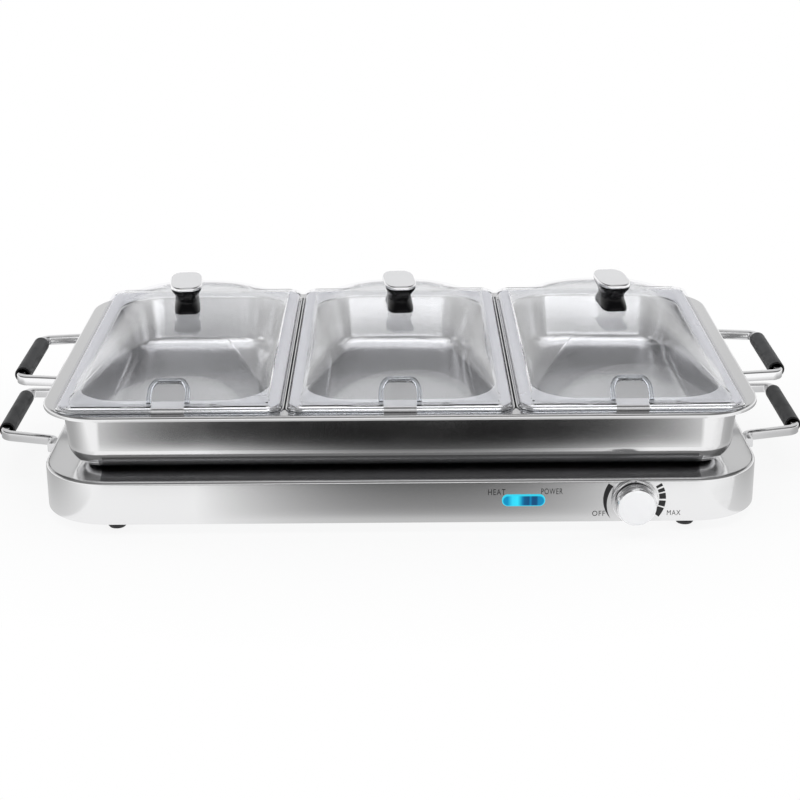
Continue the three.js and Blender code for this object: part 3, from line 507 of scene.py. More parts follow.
def placed_group(tree, group, point, **values):
    """A group placed in a material. The name of a value is its socket's, in small letters."""
    named = {label.replace("_", " ").title(): value for label, value in values.items()}
    return fed(tree, new_node(tree, "Group", node_tree=group), {"Point": point, **named}).outputs


def bumped(tree, height, distance):
    inputs = {"Strength": BUMP_STRENGTH, "Distance": distance, "Height": height}
    return new_node(tree, "Bump", inputs).outputs[0]


def surfaced(tree, shader, point, surface, depth, smears, fixed):
    """Feeds a shader from a group's surface with smears on it. What is fixed is the same all over."""
    marks = placed_group(tree, HANDLING_MARKS, point, value=surface["Roughness"], **smears)
    fed(tree, shader, {
        "Base Color": surface["Color"],
        "Roughness": marks["Value"],
        "Normal": bumped(tree, surface["Height"], depth),
        **fixed,
    })


def brushed_metal(name, tone, roughness, grain=0.04, anisotropy=0.3, depth=1.5e-6):
    made, tree, shader, point = blank_finish(name)
    normal = new_node(tree, "NewGeometry").outputs["Normal"]
    up = calculate(tree, "ABSOLUTE", split(tree, normal)["Z"])
    brushed = placed_group(tree, BRUSHED_GRAIN, point, facing_up=up, tone=(*tone, 1), tone_spread=grain,
                           roughness=roughness, roughness_spread=grain)
    fixed = {"Metallic": 1, "Anisotropic": anisotropy, "Anisotropic Rotation": GRAIN_TURN}
    surfaced(tree, shader, point, brushed, depth, BRUSHED_SMEARS, fixed)
    return made


def skinned(name, tone, roughness, scale, depth, spread, evenness, smears, fixed):
    """A finish on the moulded skin. The evenness is how many times smaller its spread of roughness is."""
    made, tree, shader, point = blank_finish(name)
    skin = placed_group(tree, MOULDED_SKIN, point, scale=scale, tone=(*tone, 1), tone_spread=spread,
                        roughness=roughness, roughness_spread=roughness / evenness)
    surfaced(tree, shader, point, skin, depth, smears, fixed)
    return made


def smooth_metal(name, tone, roughness, smears=0.05, scale=500.0, depth=2e-6, metallic=1.0):
    marks = {"scale": METAL_SMEAR_SCALE, "amount": smears}
    return skinned(name, tone, roughness, scale, depth, METAL_SPREAD, 2, marks, {"Metallic": metallic})


def moulding(name, tone, roughness, scale=900.0, depth=2e-5, spread=0.12, gloss=0.5):
    marks = {"scale": MOULD_SMEAR_SCALE, "amount": roughness / 4}
    return skinned(name, tone, roughness, scale, depth, spread, 3, marks, {"Specular IOR Level": gloss})


# %% [markdown]
# The metals differ in tone and in how far they are brushed. The outer sheet has a long visible grain, and a
# dark copy of it paints shade on the frame's lower rounding. The pans are drawn and only satin, with a paler,
# half-diffuse copy on the flange top that paints light there; the caps and handle bars are plated bright, and
# the hidden fixings are dull.

# %% Metal finishes
FINISH = {}
BRUSHED = {
    "brushed_steel": ((0.86, 0.86, 0.865), 0.13, {}),
    # A dark copy of the sheet: painted shade for the frame's lower rounding.
    "heated_steel": ((0.32, 0.32, 0.327), 0.2, {}),
    "pan_steel": ((0.79, 0.79, 0.80), 0.24, {"grain": 0.03, "anisotropy": 0.2, "depth": 1e-6}),
    "aluminium": ((0.74, 0.75, 0.77), 0.4, {"grain": 0.08}),
}
SMOOTH = {
    # A paler, half-diffuse copy of pan steel: painted light on the flange top.
    "pan_flange": ((0.90, 0.90, 0.93), 0.3, {"metallic": 0.5}),
    "chrome": ((0.95, 0.95, 0.96), 0.09, {}),
    "satin_plate": ((0.93, 0.93, 0.94), 0.2, {"metallic": 0.45}),
    "zinc_steel": ((0.62, 0.63, 0.65), 0.38, {"scale": 260.0, "depth": 1e-5}),
    "brass": ((0.72, 0.56, 0.26), 0.3, {}),
    "knob_silver": ((0.93, 0.93, 0.94), 0.18, {"smears": 0.03, "scale": 700.0}),
}


def add_finishes(maker, looks):
    for name, (tone, roughness, more) in looks.items():
        FINISH[name] = maker(name, tone, roughness, **more)
    print("finishes", list(looks))


add_finishes(brushed_metal, BRUSHED)
add_finishes(smooth_metal, SMOOTH)

# %% [markdown]
# The mouldings use one builder too. Rubber and the grip sleeves have a deep fine pebble and stay dull, the
# lid knob posts are hard glossy black, and the hidden blocks are plain off-white.

# %% Moulded finishes
MOULDED = {
    "foot_rubber": ((0.012, 0.012, 0.013), 0.7, {"depth": 6e-5}),
    "grip_rubber": ((0.04, 0.041, 0.043), 0.5, {"scale": 700.0, "depth": 9e-5}),
    # Black for the sleeves' cut ends, and painted shade in the knob's groove.
    "grip_lip": ((0.004, 0.004, 0.005), 0.35, {}),
    "black_plastic": ((0.003, 0.003, 0.0035), 0.1, {"depth": 2e-6, "gloss": 0.15}),
    "white_plastic": ((0.80, 0.79, 0.74), 0.5, {}),
    "insulation": ((0.76, 0.72, 0.62), 0.95, {"scale": 300.0, "depth": 4e-4, "spread": 0.3}),
    "wire_red": ((0.45, 0.04, 0.03), 0.5, {}),
    "wire_blue": ((0.03, 0.09, 0.35), 0.5, {}),
    "wire_white": ((0.75, 0.74, 0.7), 0.5, {}),
    "print_ink": ((0.012, 0.012, 0.013), 0.5, {}),
    "pointer_grey": ((0.18, 0.18, 0.185), 0.4, {}),
    "knob_face": ((0.95, 0.95, 0.955), 0.4, {"depth": 4e-6, "spread": 0.02}),
}
add_finishes(moulding, MOULDED)

# %% [markdown]
# The lids are clear plastic. A plain glass shader would throw a heavy shadow into the pans, so shadow rays
# meet a Transparent shader instead. Faint waves from the mould keep it from looking empty. Where a wall is
# seen almost edge-on, thick glass would pipe light away and look black, so a fade lets the view pass there.

# %% Clear finishes
SHELL_FADE = (0.72, 0.88)
SIDE_FADE = (-0.2, 0.4)
WAVE_SCALE = 45.0
WAVE_HEIGHT = 6e-5
PLASTIC_IOR = 1.49
FADED = (0.975, 0.975, 0.98, 1)
SHADED = (0.93, 0.94, 0.95, 1)
SHELL_TONE = (0.97, 0.975, 0.985)
CLEAR = {
    "clear_plastic": (SHELL_TONE, 0.03, {"fade": SHELL_FADE}),
    "clear_edge": ((0.80, 0.82, 0.85), 0.05, {}),
    # The darker foot tint is painted shade for the gap between the skirt and the rim.
    "clear_foot": ((0.35, 0.37, 0.40), 0.05, {}),
    "clear_side": (SHELL_TONE, 0.03, {"fade": SIDE_FADE}),
    "lamp_glass": ((0.75, 0.93, 1.0), 0.05, {}),
}


def clear_plastic(name, tone, roughness, fade=None):
    """Clear plastic. With a fade it turns plainly see-through where its surface is seen almost edge-on."""
    made, tree, shader, point = blank_finish(name)
    skin = placed_group(tree, MOULDED_SKIN, point, scale=WAVE_SCALE, tone=(*tone, 1), tone_spread=0.01,
                        roughness=roughness, roughness_spread=roughness)
    fed(tree, shader, {
        "Base Color": skin["Color"],
        "Roughness": skin["Roughness"],
        "Normal": bumped(tree, skin["Height"], WAVE_HEIGHT),
        "Transmission Weight": 1,
        "IOR": PLASTIC_IOR,
    })
    seen = shader.outputs[0]
    out = seen.links[0].to_node
    if fade:
        facing = new_node(tree, "LayerWeight").outputs["Facing"]
        open_way = new_node(tree, "BsdfTransparent", {0: FADED}).outputs[0]
        seen = mixed(tree, ranged(tree, facing, fade, (0, 1), smooth=True), seen, open_way)
    shadow_ray = new_node(tree, "LightPath").outputs["Is Shadow Ray"]
    shadow = new_node(tree, "BsdfTransparent", {0: SHADED}).outputs[0]
    fed(tree, out, {0: mixed(tree, shadow_ray, seen, shadow)})
    return made


add_finishes(clear_plastic, CLEAR)

# %% [markdown]
# The lens is lit from behind by two lamps. Its light is brightest left of the middle, and the moulded
# ribs on the right show as darker blue steps. A colour ramp along the lens holds these bands, and a second
# mask brings the bright rim round the edge.

# %% Lit lens finish
LENS_BLUE = (0.000, 0.263, 0.522)
LENS_BRIGHT = (0.033, 0.787, 1.000)
LENS_DARK = (0.000, 0.051, 0.171)
LENS_RIB = (0.000, 0.214, 0.448)
LENS_BANDS = (
    (0.00, LENS_BLUE), (0.13, LENS_BLUE), (0.24, (0.033, 0.700, 0.950)), (0.36, LENS_BRIGHT),
    (0.47, (0.000, 0.200, 0.430)), (0.52, (0.000, 0.080, 0.220)), (0.62, LENS_DARK), (0.66, LENS_RIB),
    (0.70, LENS_DARK), (0.80, LENS_DARK), (0.84, LENS_RIB), (1.00, LENS_BLUE),
)
LENS_RIM = (0.033, 0.69, 0.89, 1)
LENS_RIM_BAND = (1.4 * MM, 0.3 * MM)
LENS_GLOW = 0.95
LENS_BODY = (0.0, 0.03, 0.05, 1)
LENS_SKIN = {"scale": 400.0, "roughness": 0.12, "roughness_spread": 0.05}
LENS_PEBBLE = 1e-5


def lit_lens(low, high):
    made, tree, shader, point = blank_finish("lens_blue")
    middle, half = (low + high) / 2, (high.z - low.z) / 2
    straight = (high.x - low.x) / 2 - half
    across, _, up = split(tree, point)
    aside = calculate(tree, "ABSOLUTE", calculate(tree, "SUBTRACT", across, middle.x))
    past = calculate(tree, "MAXIMUM", calculate(tree, "SUBTRACT", aside, straight), 0)
    above = calculate(tree, "SUBTRACT", up, middle.z)
    squares = calculate(tree, "MULTIPLY_ADD", above, above, calculate(tree, "MULTIPLY", past, past))
    rim_band = [half - inset for inset in LENS_RIM_BAND]
    rim = ranged(tree, calculate(tree, "SQRT", squares), rim_band, (0, 1), smooth=True)
    glow = new_node(tree, "Mix", data_type="RGBA")
    places = [i for i, socket in enumerate(glow.inputs) if socket.type == "RGBA"]
    bands = banded(tree, ranged(tree, across, (low.x, high.x), (0, 1)), LENS_BANDS)
    fed(tree, glow, {"Factor": rim, places[0]: bands, places[1]: LENS_RIM})
    skin = placed_group(tree, MOULDED_SKIN, point, **LENS_SKIN)
    fed(tree, shader, {
        "Base Color": LENS_BODY,
        "Emission Color": [socket for socket in glow.outputs if socket.type == "RGBA"][0],
        "Emission Strength": LENS_GLOW,
        "Roughness": skin["Roughness"],
        "Normal": bumped(tree, skin["Height"], LENS_PEBBLE),
    })
    return made


lens_low, lens_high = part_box("indicator_lens")
FINISH["lens_blue"] = lit_lens(lens_low, lens_high)
print("lens", round((lens_high.x - lens_low.x) / MM, 1), "mm wide")

# %% [markdown]
# Most pieces are drawn sheet or moulded in plan as a rounded rectangle, so one helper makes that loop: a
# one-face grid is scaled and its four corners are bevelled into arcs. Loops at other heights are then
# bridged into a wall. Bridging is chosen over extruding, because the corner radius differs at each level.
# The bridge operator needs two loops that lie well apart to pair them rightly, and a flat floor's loops
# share one plane, so each loop is lifted for the moment of its bridging and then put back.

# %% Loops and walls
CORNER_STEPS = 14
EDGE_STEPS = 6
SUPPORT = 0.25 * MM
MERGE = 1e-6
BRIDGE_LIFT = Vector((0, 0, 0.2))


def verts_of(edges):
    return list(dict.fromkeys(vert for edge in edges for vert in edge.verts))


def loop(bm, width, depth, corner, height, inset=0.0, steps=CORNER_STEPS):
    """A rounded rectangle of edges at a height, centred on the Z axis and drawn in by an inset."""
    verts = bmesh.ops.create_grid(bm, x_segments=1, y_segments=1, size=0.5)["verts"]
    bmesh.ops.scale(bm, vec=(width - 2 * inset, depth - 2 * inset, 1), verts=verts)
    bmesh.ops.translate(bm, vec=(0, 0, height), verts=verts)
    rounded = bmesh.ops.bevel(bm, geom=verts, offset=corner - inset, offset_type="OFFSET", segments=steps,
                              profile=0.5, affect="VERTICES", material=-1)
    face = rounded["verts"][0].link_faces[0]
    edges = list(face.edges)
    bmesh.ops.delete(bm, geom=[face], context="FACES_ONLY")
    return edges


def quarter(radius, steps=EDGE_STEPS):
    """A quarter round in steps: how far in and how far down each step lies."""
    angles = [step / steps * math.pi / 2 for step in range(steps + 1)]
    return [(radius * (1 - math.cos(angle)), radius * (1 - math.sin(angle))) for angle in angles]


def edge_loops(bm, width, depth, corner, radius, height, rise, steps=EDGE_STEPS):
    """Loops of a quarter-round edge from an upright wall to a flat, rising (1) or falling (-1)."""
    return [loop(bm, width, depth, corner, height - rise * drop, inset)
            for inset, drop in quarter(radius, steps)]


def wall(bm, loops):
    """Bridges each loop to the next."""
    for before, after in zip(loops, loops[1:]):
        verts = verts_of(after)
        bmesh.ops.translate(bm, vec=BRIDGE_LIFT, verts=verts)
        bmesh.ops.bridge_loops(bm, edges=before + after)
        bmesh.ops.translate(bm, vec=-BRIDGE_LIFT, verts=verts)


def capped(bm, *loops):
    for edges in loops:
        bmesh.ops.edgeloop_fill(bm, edges=edges)


# %% [markdown]
# Turned pieces, such as the feet and the knob, start as a line of points in a half plane, which is spun
# round an axis. A second helper softens the corners of such a line into small arcs, because a real edge
# always catches a thin highlight.

# %% Turned shapes
TURN_STEPS = 64
FRONTWARD = Matrix.Rotation(math.pi / 2, 4, "X")
BACKWARD = Matrix.Rotation(-math.pi / 2, 4, "X")
SIDEWARD = Matrix.Rotation(math.pi / 2, 4, "Y")


def softened(points, steps=4):
    """A line through (across, along, radius) points with its corners rounded to their radii."""
    line = []
    for i, (across, along, radius) in enumerate(points):
        here = Vector((across, along))
        if radius == 0 or i in (0, len(points) - 1):
            line.append(here)
            continue
        back = (Vector(points[i - 1][:2]) - here).normalized()
        ahead = (Vector(points[i + 1][:2]) - here).normalized()
        half = back.angle(ahead) / 2
        centre = here + (back + ahead).normalized() * (radius / math.sin(half))
        spoke = here + back * (radius / math.tan(half)) - centre
        sweep = math.copysign(math.pi - 2 * half, -(back.x * ahead.y - back.y * ahead.x))
        for step in range(steps + 1):
            line.append(centre + Matrix.Rotation(sweep * step / steps, 2) @ spoke)
    return line


def spun(bm, line, steps=TURN_STEPS):
    """Turns a line of (radius, along) points once round the Z axis."""
    verts = [bm.verts.new((radius, 0, along)) for radius, along in line]
    edges = [bm.edges.new(pair) for pair in zip(verts, verts[1:])]
    bmesh.ops.spin(bm, geom=verts + edges, cent=(0, 0, 0), axis=(0, 0, 1), angle=2 * math.pi,
                   steps=steps, use_merge=True, use_duplicate=False)


def placed(bm, place, turn=Matrix.Identity(4)):
    bmesh.ops.transform(bm, matrix=Matrix.Translation(place) @ turn, verts=bm.verts)


# %% [markdown]
# Every piece ends the same way: doubles are merged, faces are turned outward, edges sharper than a set angle
# stay crisp, and the piece gets its finish, its body and the model's piece that it stands for. Some pieces
# show more than one finish, chosen face by face. Holes are cut with bars of a round or a rounded section.

# %% Finishing and carving a piece
CRISP = math.radians(32)
ROD_STEPS = 32


def crisp(mesh):
    mesh.shade_smooth()
    mesh.set_sharp_from_angle(angle=CRISP)


def finished(bm, name, body, finish, *nodes, slot=None):
    bmesh.ops.remove_doubles(bm, verts=bm.verts, dist=MERGE)
    bmesh.ops.recalc_face_normals(bm, faces=bm.faces)
    piece = stood(bm, name)
    crisp(piece.data)
    piece.data.materials.append(FINISH[finish])
    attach(piece, body)
    if nodes:
        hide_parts(*nodes)
    return piece


def refinished(piece, chosen, *extras):
    """Adds finishes to a piece. What is chosen for a face is the number of its finish."""
    for extra in extras:
        piece.data.materials.append(FINISH[extra])
    for face in piece.data.polygons:
        face.material_index = int(chosen(face))
    return piece


def rod(radius, length, place, turn=Matrix.Identity(4)):
    """A cutter: a plain round bar about a place."""
    bm = bmesh.new()
    bmesh.ops.create_cone(bm, cap_ends=True, segments=ROD_STEPS, radius1=radius, radius2=radius, depth=length)
    placed(bm, place, turn)
    return stood(bm, "cutter")


def rounded_bar(width, height, corner, levels, place, steps=CORNER_STEPS):
    """A cutter: a bar with a rounded section that runs from front to rear."""
    bm = bmesh.new()
    ends = [loop(bm, width, height, corner, level, steps=steps) for level in levels]
    wall(bm, ends)
    capped(bm, *ends)
    placed(bm, place, FRONTWARD)
    bmesh.ops.recalc_face_normals(bm, faces=bm.faces)
    return stood(bm, "cutter")


def evaluated(obj):
    """The mesh of an object as its modifiers or its curve make it."""
    graph = bpy.context.evaluated_depsgraph_get()
    return bpy.data.meshes.new_from_object(obj.evaluated_get(graph))


def meshed(curve):
    """A bmesh of a curve."""
    drawn = bpy.data.objects.new("drawn", curve)
    bpy.context.scene.collection.objects.link(drawn)
    bm = bmesh.new()
    bm.from_mesh(evaluated(drawn))
    bpy.data.objects.remove(drawn)
    return bm


def carved(piece, *cutters):
    """Cuts the cutters' shapes out of a piece, keeps the result and removes the cutters."""
    for cutter in cutters:
        cut = piece.modifiers.new("cut", "BOOLEAN")
        cut.operation = "DIFFERENCE"
        cut.solver = "EXACT"
        cut.object = cutter
    mesh = evaluated(piece)
    piece.modifiers.clear()
    piece.data = mesh
    crisp(mesh)
    for cutter in cutters:
        bpy.data.objects.remove(cutter)
    return piece


def told(*pieces):
    """Prints the name, faces and size in millimetres of what was made."""
    for piece in pieces:
        print(piece.name, len(piece.data.polygons), "faces", in_mm(piece.dimensions), "mm")


# %% [markdown]
# The base is one drawn sheet: upright walls, a rounded upper edge and a flat deck, open below. Its outer
# skin is bridged from loops and then thickened inward, as sheet metal is. Holes for the knob's bush, the
# lens, the cord gland and the handle screws are cut last.

# %% Warming base shell
BASE_SIZE = base_high - base_low
BASE_CORNER = 58 * MM
DECK_EDGE = 2.6 * MM
SHEET = 0.8 * MM
knob_low, knob_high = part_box("thermostat_knob")
knob_centre = middle_of("thermostat_knob")
gland_centre = middle_of("cord_gland")
PANEL_MID = (base_low.z + base_high.z) / 2


def base_shell():
    bm = bmesh.new()
    outline = (BASE_SIZE.x, BASE_SIZE.y, BASE_CORNER)
    loops = [loop(bm, *outline, level) for level in (base_low.z, base_high.z - DECK_EDGE - SUPPORT)]
    loops += edge_loops(bm, *outline, DECK_EDGE, base_high.z, 1)
    loops.append(loop(bm, *outline, base_high.z, DECK_EDGE + SUPPORT))
    wall(bm, loops)
    capped(bm, loops[-1])
    bmesh.ops.recalc_face_normals(bm, faces=bm.faces)
    bmesh.ops.solidify(bm, geom=bm.faces, thickness=SHEET)
    return finished(bm, "warming_base_shell", "base", "brushed_steel", "base_shell")


shell = base_shell()
told(shell)

# %% Holes in the base shell
BUSH_HOLE = 4.9 * MM
GLAND_HOLE = 7.3 * MM
SCREW_HOLE = 2.3 * MM
HOLE_DEPTH = 8 * MM
LENS_LIP = 1.0 * MM


def lens_slot():
    """A cutter for the lens: its own outline in the panel, drawn in by a lip."""
    low, high = lens_low, lens_high
    width, height = high.x - low.x - 2 * LENS_LIP, high.z - low.z - 2 * LENS_LIP
    place = ((low.x + high.x) / 2, front_plane, (low.z + high.z) / 2)
    return rounded_bar(width, height, height / 2 - SUPPORT, (-HOLE_DEPTH, HOLE_DEPTH), place)


handle_screws = {owner: corners(f"{owner}_handle_screw") for owner in OWNERS}
side_holes = []
for middle in map(middle_of, handle_screws["base"]):
    wall_x = math.copysign(base_high.x, middle.x)
    side_holes.append(rod(SCREW_HOLE, HOLE_DEPTH, (wall_x, middle.y, middle.z), SIDEWARD))
carved(
    shell,
    rod(BUSH_HOLE, HOLE_DEPTH, (knob_centre.x, front_plane, PANEL_MID), FRONTWARD),
    rod(GLAND_HOLE, HOLE_DEPTH, (gland_centre.x, rear_plane, PANEL_MID), FRONTWARD),
    lens_slot(),
    *side_holes,
)
told(shell)

# %% [markdown]
# The bottom plate closes the base from below. It is a flat sheet with four screw holes, and four rubber
# feet stand under it. A foot is a shallow bowl with a recess for its screw, so it is turned.

# %% Bottom plate and feet
foot_nodes = corners("foot")
FOOT_SOLE = 6.6 * MM
FOOT_SHOULDER = 3 * MM
FOOT_RECESS = 4.4 * MM
FOOT_RECESS_DEPTH = 4 * MM
FOOT_SOFT = 0.8 * MM


def foot(node):
    low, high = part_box(node)
    radius = (high.x - low.x) / 2
    height = high.z - low.z
    bm = bmesh.new()
    spun(bm, softened([
        (FOOT_RECESS, FOOT_RECESS_DEPTH, 0),
        (FOOT_RECESS, 0, FOOT_SOFT / 2),
        (FOOT_SOLE, 0, FOOT_SOFT),
        (radius, FOOT_SHOULDER, FOOT_SOFT),
        (radius, height, FOOT_SOFT / 2),
        (SCREW_HOLE, height, 0),
        (SCREW_HOLE, FOOT_RECESS_DEPTH, 0),
        (FOOT_RECESS, FOOT_RECESS_DEPTH, 0),
    ]))
    placed(bm, underside(node))
    return finished(bm, f"rubber_{node}", "base", "foot_rubber", node)


def bottom_plate():
    low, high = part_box("bottom_plate")
    inset = base_high.x - high.x
    bm = bmesh.new()
    faces = [loop(bm, high.x - low.x, high.y - low.y, BASE_CORNER - inset, z) for z in (low.z, high.z)]
    wall(bm, faces)
    capped(bm, *faces)
    plate = finished(bm, "steel_bottom_plate", "base", "zinc_steel", "bottom_plate")
    holes = [(middle.x, middle.y, low.z) for middle in map(middle_of, foot_nodes)]
    return carved(plate, *[rod(SCREW_HOLE, HOLE_DEPTH, place) for place in holes])


told(bottom_plate(), *[foot(node) for node in foot_nodes])

# %% [markdown]
# The knob is a plated moulding: a skirt with a pointer tick, a groove painted black as shade, a body with two
# fine rings and a pale flat face. All of it is one turned line, and the tick is a small bevelled block on the
# skirt.

# %% Thermostat knob
KNOB_SKIRT = 19 * MM
KNOB_SKIRT_HEIGHT = 2.6 * MM
KNOB_BODY = 16.7 * MM
KNOB_FACE = 15.4 * MM
KNOB_FACE_DIP = 0.35 * MM
KNOB_FACE_RIM = ((1.1, 0, 0.3), (0.8, 0.3, 0.15), (0, 0.4, 0.4))
KNOB_SHOULDER = 1.6 * MM
KNOB_SHOULDER_SOFT = 0.8 * MM
KNOB_RING = 0.35 * MM
KNOB_RINGS_AT = (3.6 * MM, 6.2 * MM)
KNOB_SOFT = 0.3 * MM
KNOB_GROOVE_SOFT = 0.2 * MM
KNOB_SKIRT_SOFT = 0.9 * MM
KNOB_STEPS = 96
KNOB_GROOVE = 2.8 * MM
KNOB_GROOVE_DEPTH = 0.9 * MM
KNOB_POCKET = 9 * MM
KNOB_POCKET_DEPTH = 6.2 * MM
KNOB_BORE = 3.3 * MM
KNOB_BORE_DEPTH = 12 * MM
KNOB_POINTER = (1.2 * MM, 0.9 * MM, 2.0 * MM)
KNOB_POINTER_SOFT = 0.25 * MM


def knob():
    height = knob_high.y - knob_low.y
    line = [(0, height, 0)]
    for inset, drop, soft in KNOB_FACE_RIM:
        line.append((KNOB_FACE - inset * MM, height - drop * MM, soft * MM))
    line.append(((KNOB_FACE + KNOB_BODY) / 2, height - KNOB_SHOULDER, KNOB_SHOULDER_SOFT))
    for drop in KNOB_RINGS_AT:
        for inset, rise in ((KNOB_RING / 4, KNOB_RING), (2 * KNOB_RING, 0), (0, -KNOB_RING)):
            line.append((KNOB_BODY - inset, height - drop + rise, KNOB_RING / 2))
    groove = KNOB_BODY - KNOB_GROOVE_DEPTH
    groove_top = KNOB_SKIRT_HEIGHT + KNOB_GROOVE
    line += [
        (KNOB_BODY, groove_top, KNOB_SOFT),
        (groove, groove_top - KNOB_GROOVE_DEPTH, KNOB_GROOVE_SOFT),
        (groove, KNOB_SKIRT_HEIGHT, KNOB_GROOVE_SOFT),
        (KNOB_SKIRT, KNOB_SKIRT_HEIGHT, KNOB_SKIRT_SOFT),
        (KNOB_SKIRT, 0, KNOB_SOFT),
        (KNOB_POCKET, 0, KNOB_SOFT),
        (KNOB_POCKET, KNOB_POCKET_DEPTH, 0),
        (KNOB_BORE, KNOB_POCKET_DEPTH, 0),
        (KNOB_BORE, KNOB_BORE_DEPTH, 0),
        (0, KNOB_BORE_DEPTH, 0),
    ]
    bm = bmesh.new()
    spun(bm, softened(line), steps=KNOB_STEPS)
    placed(bm, (knob_centre.x, knob_high.y, PANEL_MID), FRONTWARD)
    turned = finished(bm, "silver_thermostat_knob", "knob", "knob_silver", "thermostat_knob")

    def part_of(face):
        """2 in the groove, which is painted black as shade, 1 on the flat face and 0 elsewhere."""
        out = knob_high.y - face.center.y
        off = Vector((face.center.x - knob_centre.x, face.center.z - PANEL_MID)).length
        if 0 < out - KNOB_SKIRT_HEIGHT < KNOB_GROOVE and off < KNOB_BODY - KNOB_FACE_DIP / 4:
            return 2
        return out > height - KNOB_FACE_DIP and off < KNOB_FACE

    return refinished(turned, part_of, "knob_face", "grip_lip")


def knob_pointer():
    bm = bmesh.new()
    bmesh.ops.create_cube(bm, size=1)
    bmesh.ops.scale(bm, vec=KNOB_POINTER, verts=bm.verts)
    bmesh.ops.bevel(bm, geom=bm.edges[:], offset=KNOB_POINTER_SOFT, offset_type="OFFSET", segments=3,
                    profile=0.5, affect="EDGES", material=-1)
    placed(bm, (knob_centre.x, knob_high.y - KNOB_SKIRT_HEIGHT, PANEL_MID + (KNOB_SKIRT + KNOB_BODY) / 2))
    return finished(bm, "knob_pointer", "knob", "pointer_grey", slot="knob_silver")


told(knob(), knob_pointer())

# %% [markdown]
# The lens is a pill-shaped window with a soft edge. Its loops lie in the panel's plane, and its plug runs
# back through the slot to the lamps.

# %% Indicator lens
LENS_SOFT = 0.9 * MM
LENS_FACE_LIFT = 0.3 * MM
LENS_PLUG_INSET = 1.3 * MM


def lens():
    width, height = lens_high.x - lens_low.x, lens_high.z - lens_low.z
    outline = (width, height, height / 2 - SUPPORT)
    proud = front_plane - lens_low.y
    back = lens_high.y - front_plane
    bm = bmesh.new()
    plug = [loop(bm, *outline, level, LENS_PLUG_INSET) for level in (-back, LENS_FACE_LIFT)]
    loops = [loop(bm, *outline, LENS_FACE_LIFT)]
    loops += edge_loops(bm, *outline, LENS_SOFT, proud, 1)
    loops.append(loop(bm, *outline, proud, LENS_SOFT + SUPPORT))
    wall(bm, [*plug, *loops])
    capped(bm, plug[0], loops[-1])
    middle = middle_of("indicator_lens")
    placed(bm, (middle.x, front_plane, middle.z), FRONTWARD)
    return finished(bm, "lit_lens", "base", "lens_blue", "indicator_lens")


told(lens())

# %% [markdown]
# The panel carries generic words and a heat scale in dark ink. Ink is a film with almost no height. The
# bands are edges spun about the knob's axis, and the crescent on the left thins to a point as it goes down.

# %% Ink bands
INK_LIFT = 0.05 * MM
SCALE_CENTRE_Z = PANEL_MID + 0.85 * MM
SCALE_RADIUS = 25.8 * MM
SCALE_WIDTH = 5.5 * MM
CRESCENT_WIDTH = 4.6 * MM
CRESCENT_ANGLES = (147, 221)
CRESCENT_POWER = 1.6
CRESCENT_TIP = 0.05 * MM
CRESCENT_STEPS = 28
BLOCK_STEPS = 8
BLOCK_ANGLES = ((27.1, 33.1), (15.4, 23.3), (0.2, 12.5), (-15.6, -3.5), (-38.0, -18.5))


def ink_band(bm, start, stop, width, steps):
    """A flat band of the scale between two angles, in the XY plane."""
    first = math.radians(start)
    ends = [bm.verts.new((radius * math.cos(first), radius * math.sin(first), 0))
            for radius in (SCALE_RADIUS - width, SCALE_RADIUS)]
    edge = bm.edges.new(ends)
    bmesh.ops.spin(bm, geom=[*ends, edge], cent=(0, 0, 0), axis=(0, 0, 1),
                   angle=math.radians(stop - start), steps=steps, use_merge=False, use_duplicate=False)


def inked(bm, name, place):
    top = bmesh.ops.extrude_face_region(bm, geom=bm.faces[:])
    moved = [item for item in top["geom"] if isinstance(item, bmesh.types.BMVert)]
    bmesh.ops.translate(bm, vec=(0, 0, INK_LIFT), verts=moved)
    placed(bm, place, FRONTWARD)
    return finished(bm, name, "base", "print_ink", slot="black_plastic")


ink_plane = front_plane - INK_LIFT / 4
scale_place = (knob_centre.x, ink_plane, SCALE_CENTRE_Z)
bm = bmesh.new()
for start, stop in BLOCK_ANGLES:
    ink_band(bm, start, stop, SCALE_WIDTH, BLOCK_STEPS)
blocks = inked(bm, "scale_blocks", scale_place)

bm = bmesh.new()
ink_band(bm, *CRESCENT_ANGLES, CRESCENT_WIDTH, CRESCENT_STEPS)
for vert in bm.verts:
    angle = math.degrees(math.atan2(vert.co.y, vert.co.x)) % 360
    share = (angle - CRESCENT_ANGLES[0]) / (CRESCENT_ANGLES[1] - CRESCENT_ANGLES[0])
    if vert.co.length < SCALE_RADIUS - CRESCENT_WIDTH / 2:
        thin = CRESCENT_WIDTH * (1 - share ** CRESCENT_POWER) + CRESCENT_TIP
        vert.co *= (SCALE_RADIUS - thin) / vert.co.length
crescent = inked(bm, "scale_crescent", scale_place)
told(blocks, crescent)

# %% [markdown]
# Each word is a text curve that is made a mesh, fitted to the place it has on the panel and stood upright.
# Fitting the mesh to a box is more exact than guessing a font size.

# %% Panel words
WORDS = (
    ("HEAT", (71.6, 33.1, 85.8, 38.3)),
    ("POWER", (115.2, 33.5, 132.8, 38.6)),
    ("OFF", (157.6, 13.8, 168.1, 18.4)),
    ("MAX", (219.1, 14.1, 230.3, 18.5)),
)
LETTER_SPACING = 1.15


def word(text, left, bottom, right, top):
    curve = bpy.data.curves.new(text, "FONT")
    curve.body = text
    curve.space_character = LETTER_SPACING
    bm = meshed(curve)
    low, high = [Vector([end(vert.co[axis] for vert in bm.verts) for axis in range(3)]) for end in (min, max)]
    bmesh.ops.translate(bm, vec=-low, verts=bm.verts)
    stretch = ((right - left) * MM / (high.x - low.x), (top - bottom) * MM / (high.y - low.y), 1)
    bmesh.ops.scale(bm, vec=stretch, verts=bm.verts)
    bmesh.ops.remove_doubles(bm, verts=bm.verts, dist=MERGE)
    return inked(bm, f"word_{text.lower()}", (left * MM, ink_plane, bottom * MM))


told(*[word(text, *box) for text, box in WORDS])

# %% [markdown]
# The cord leaves at the back through a snap-in gland. Its cap has a soft edge and three shallow rings.

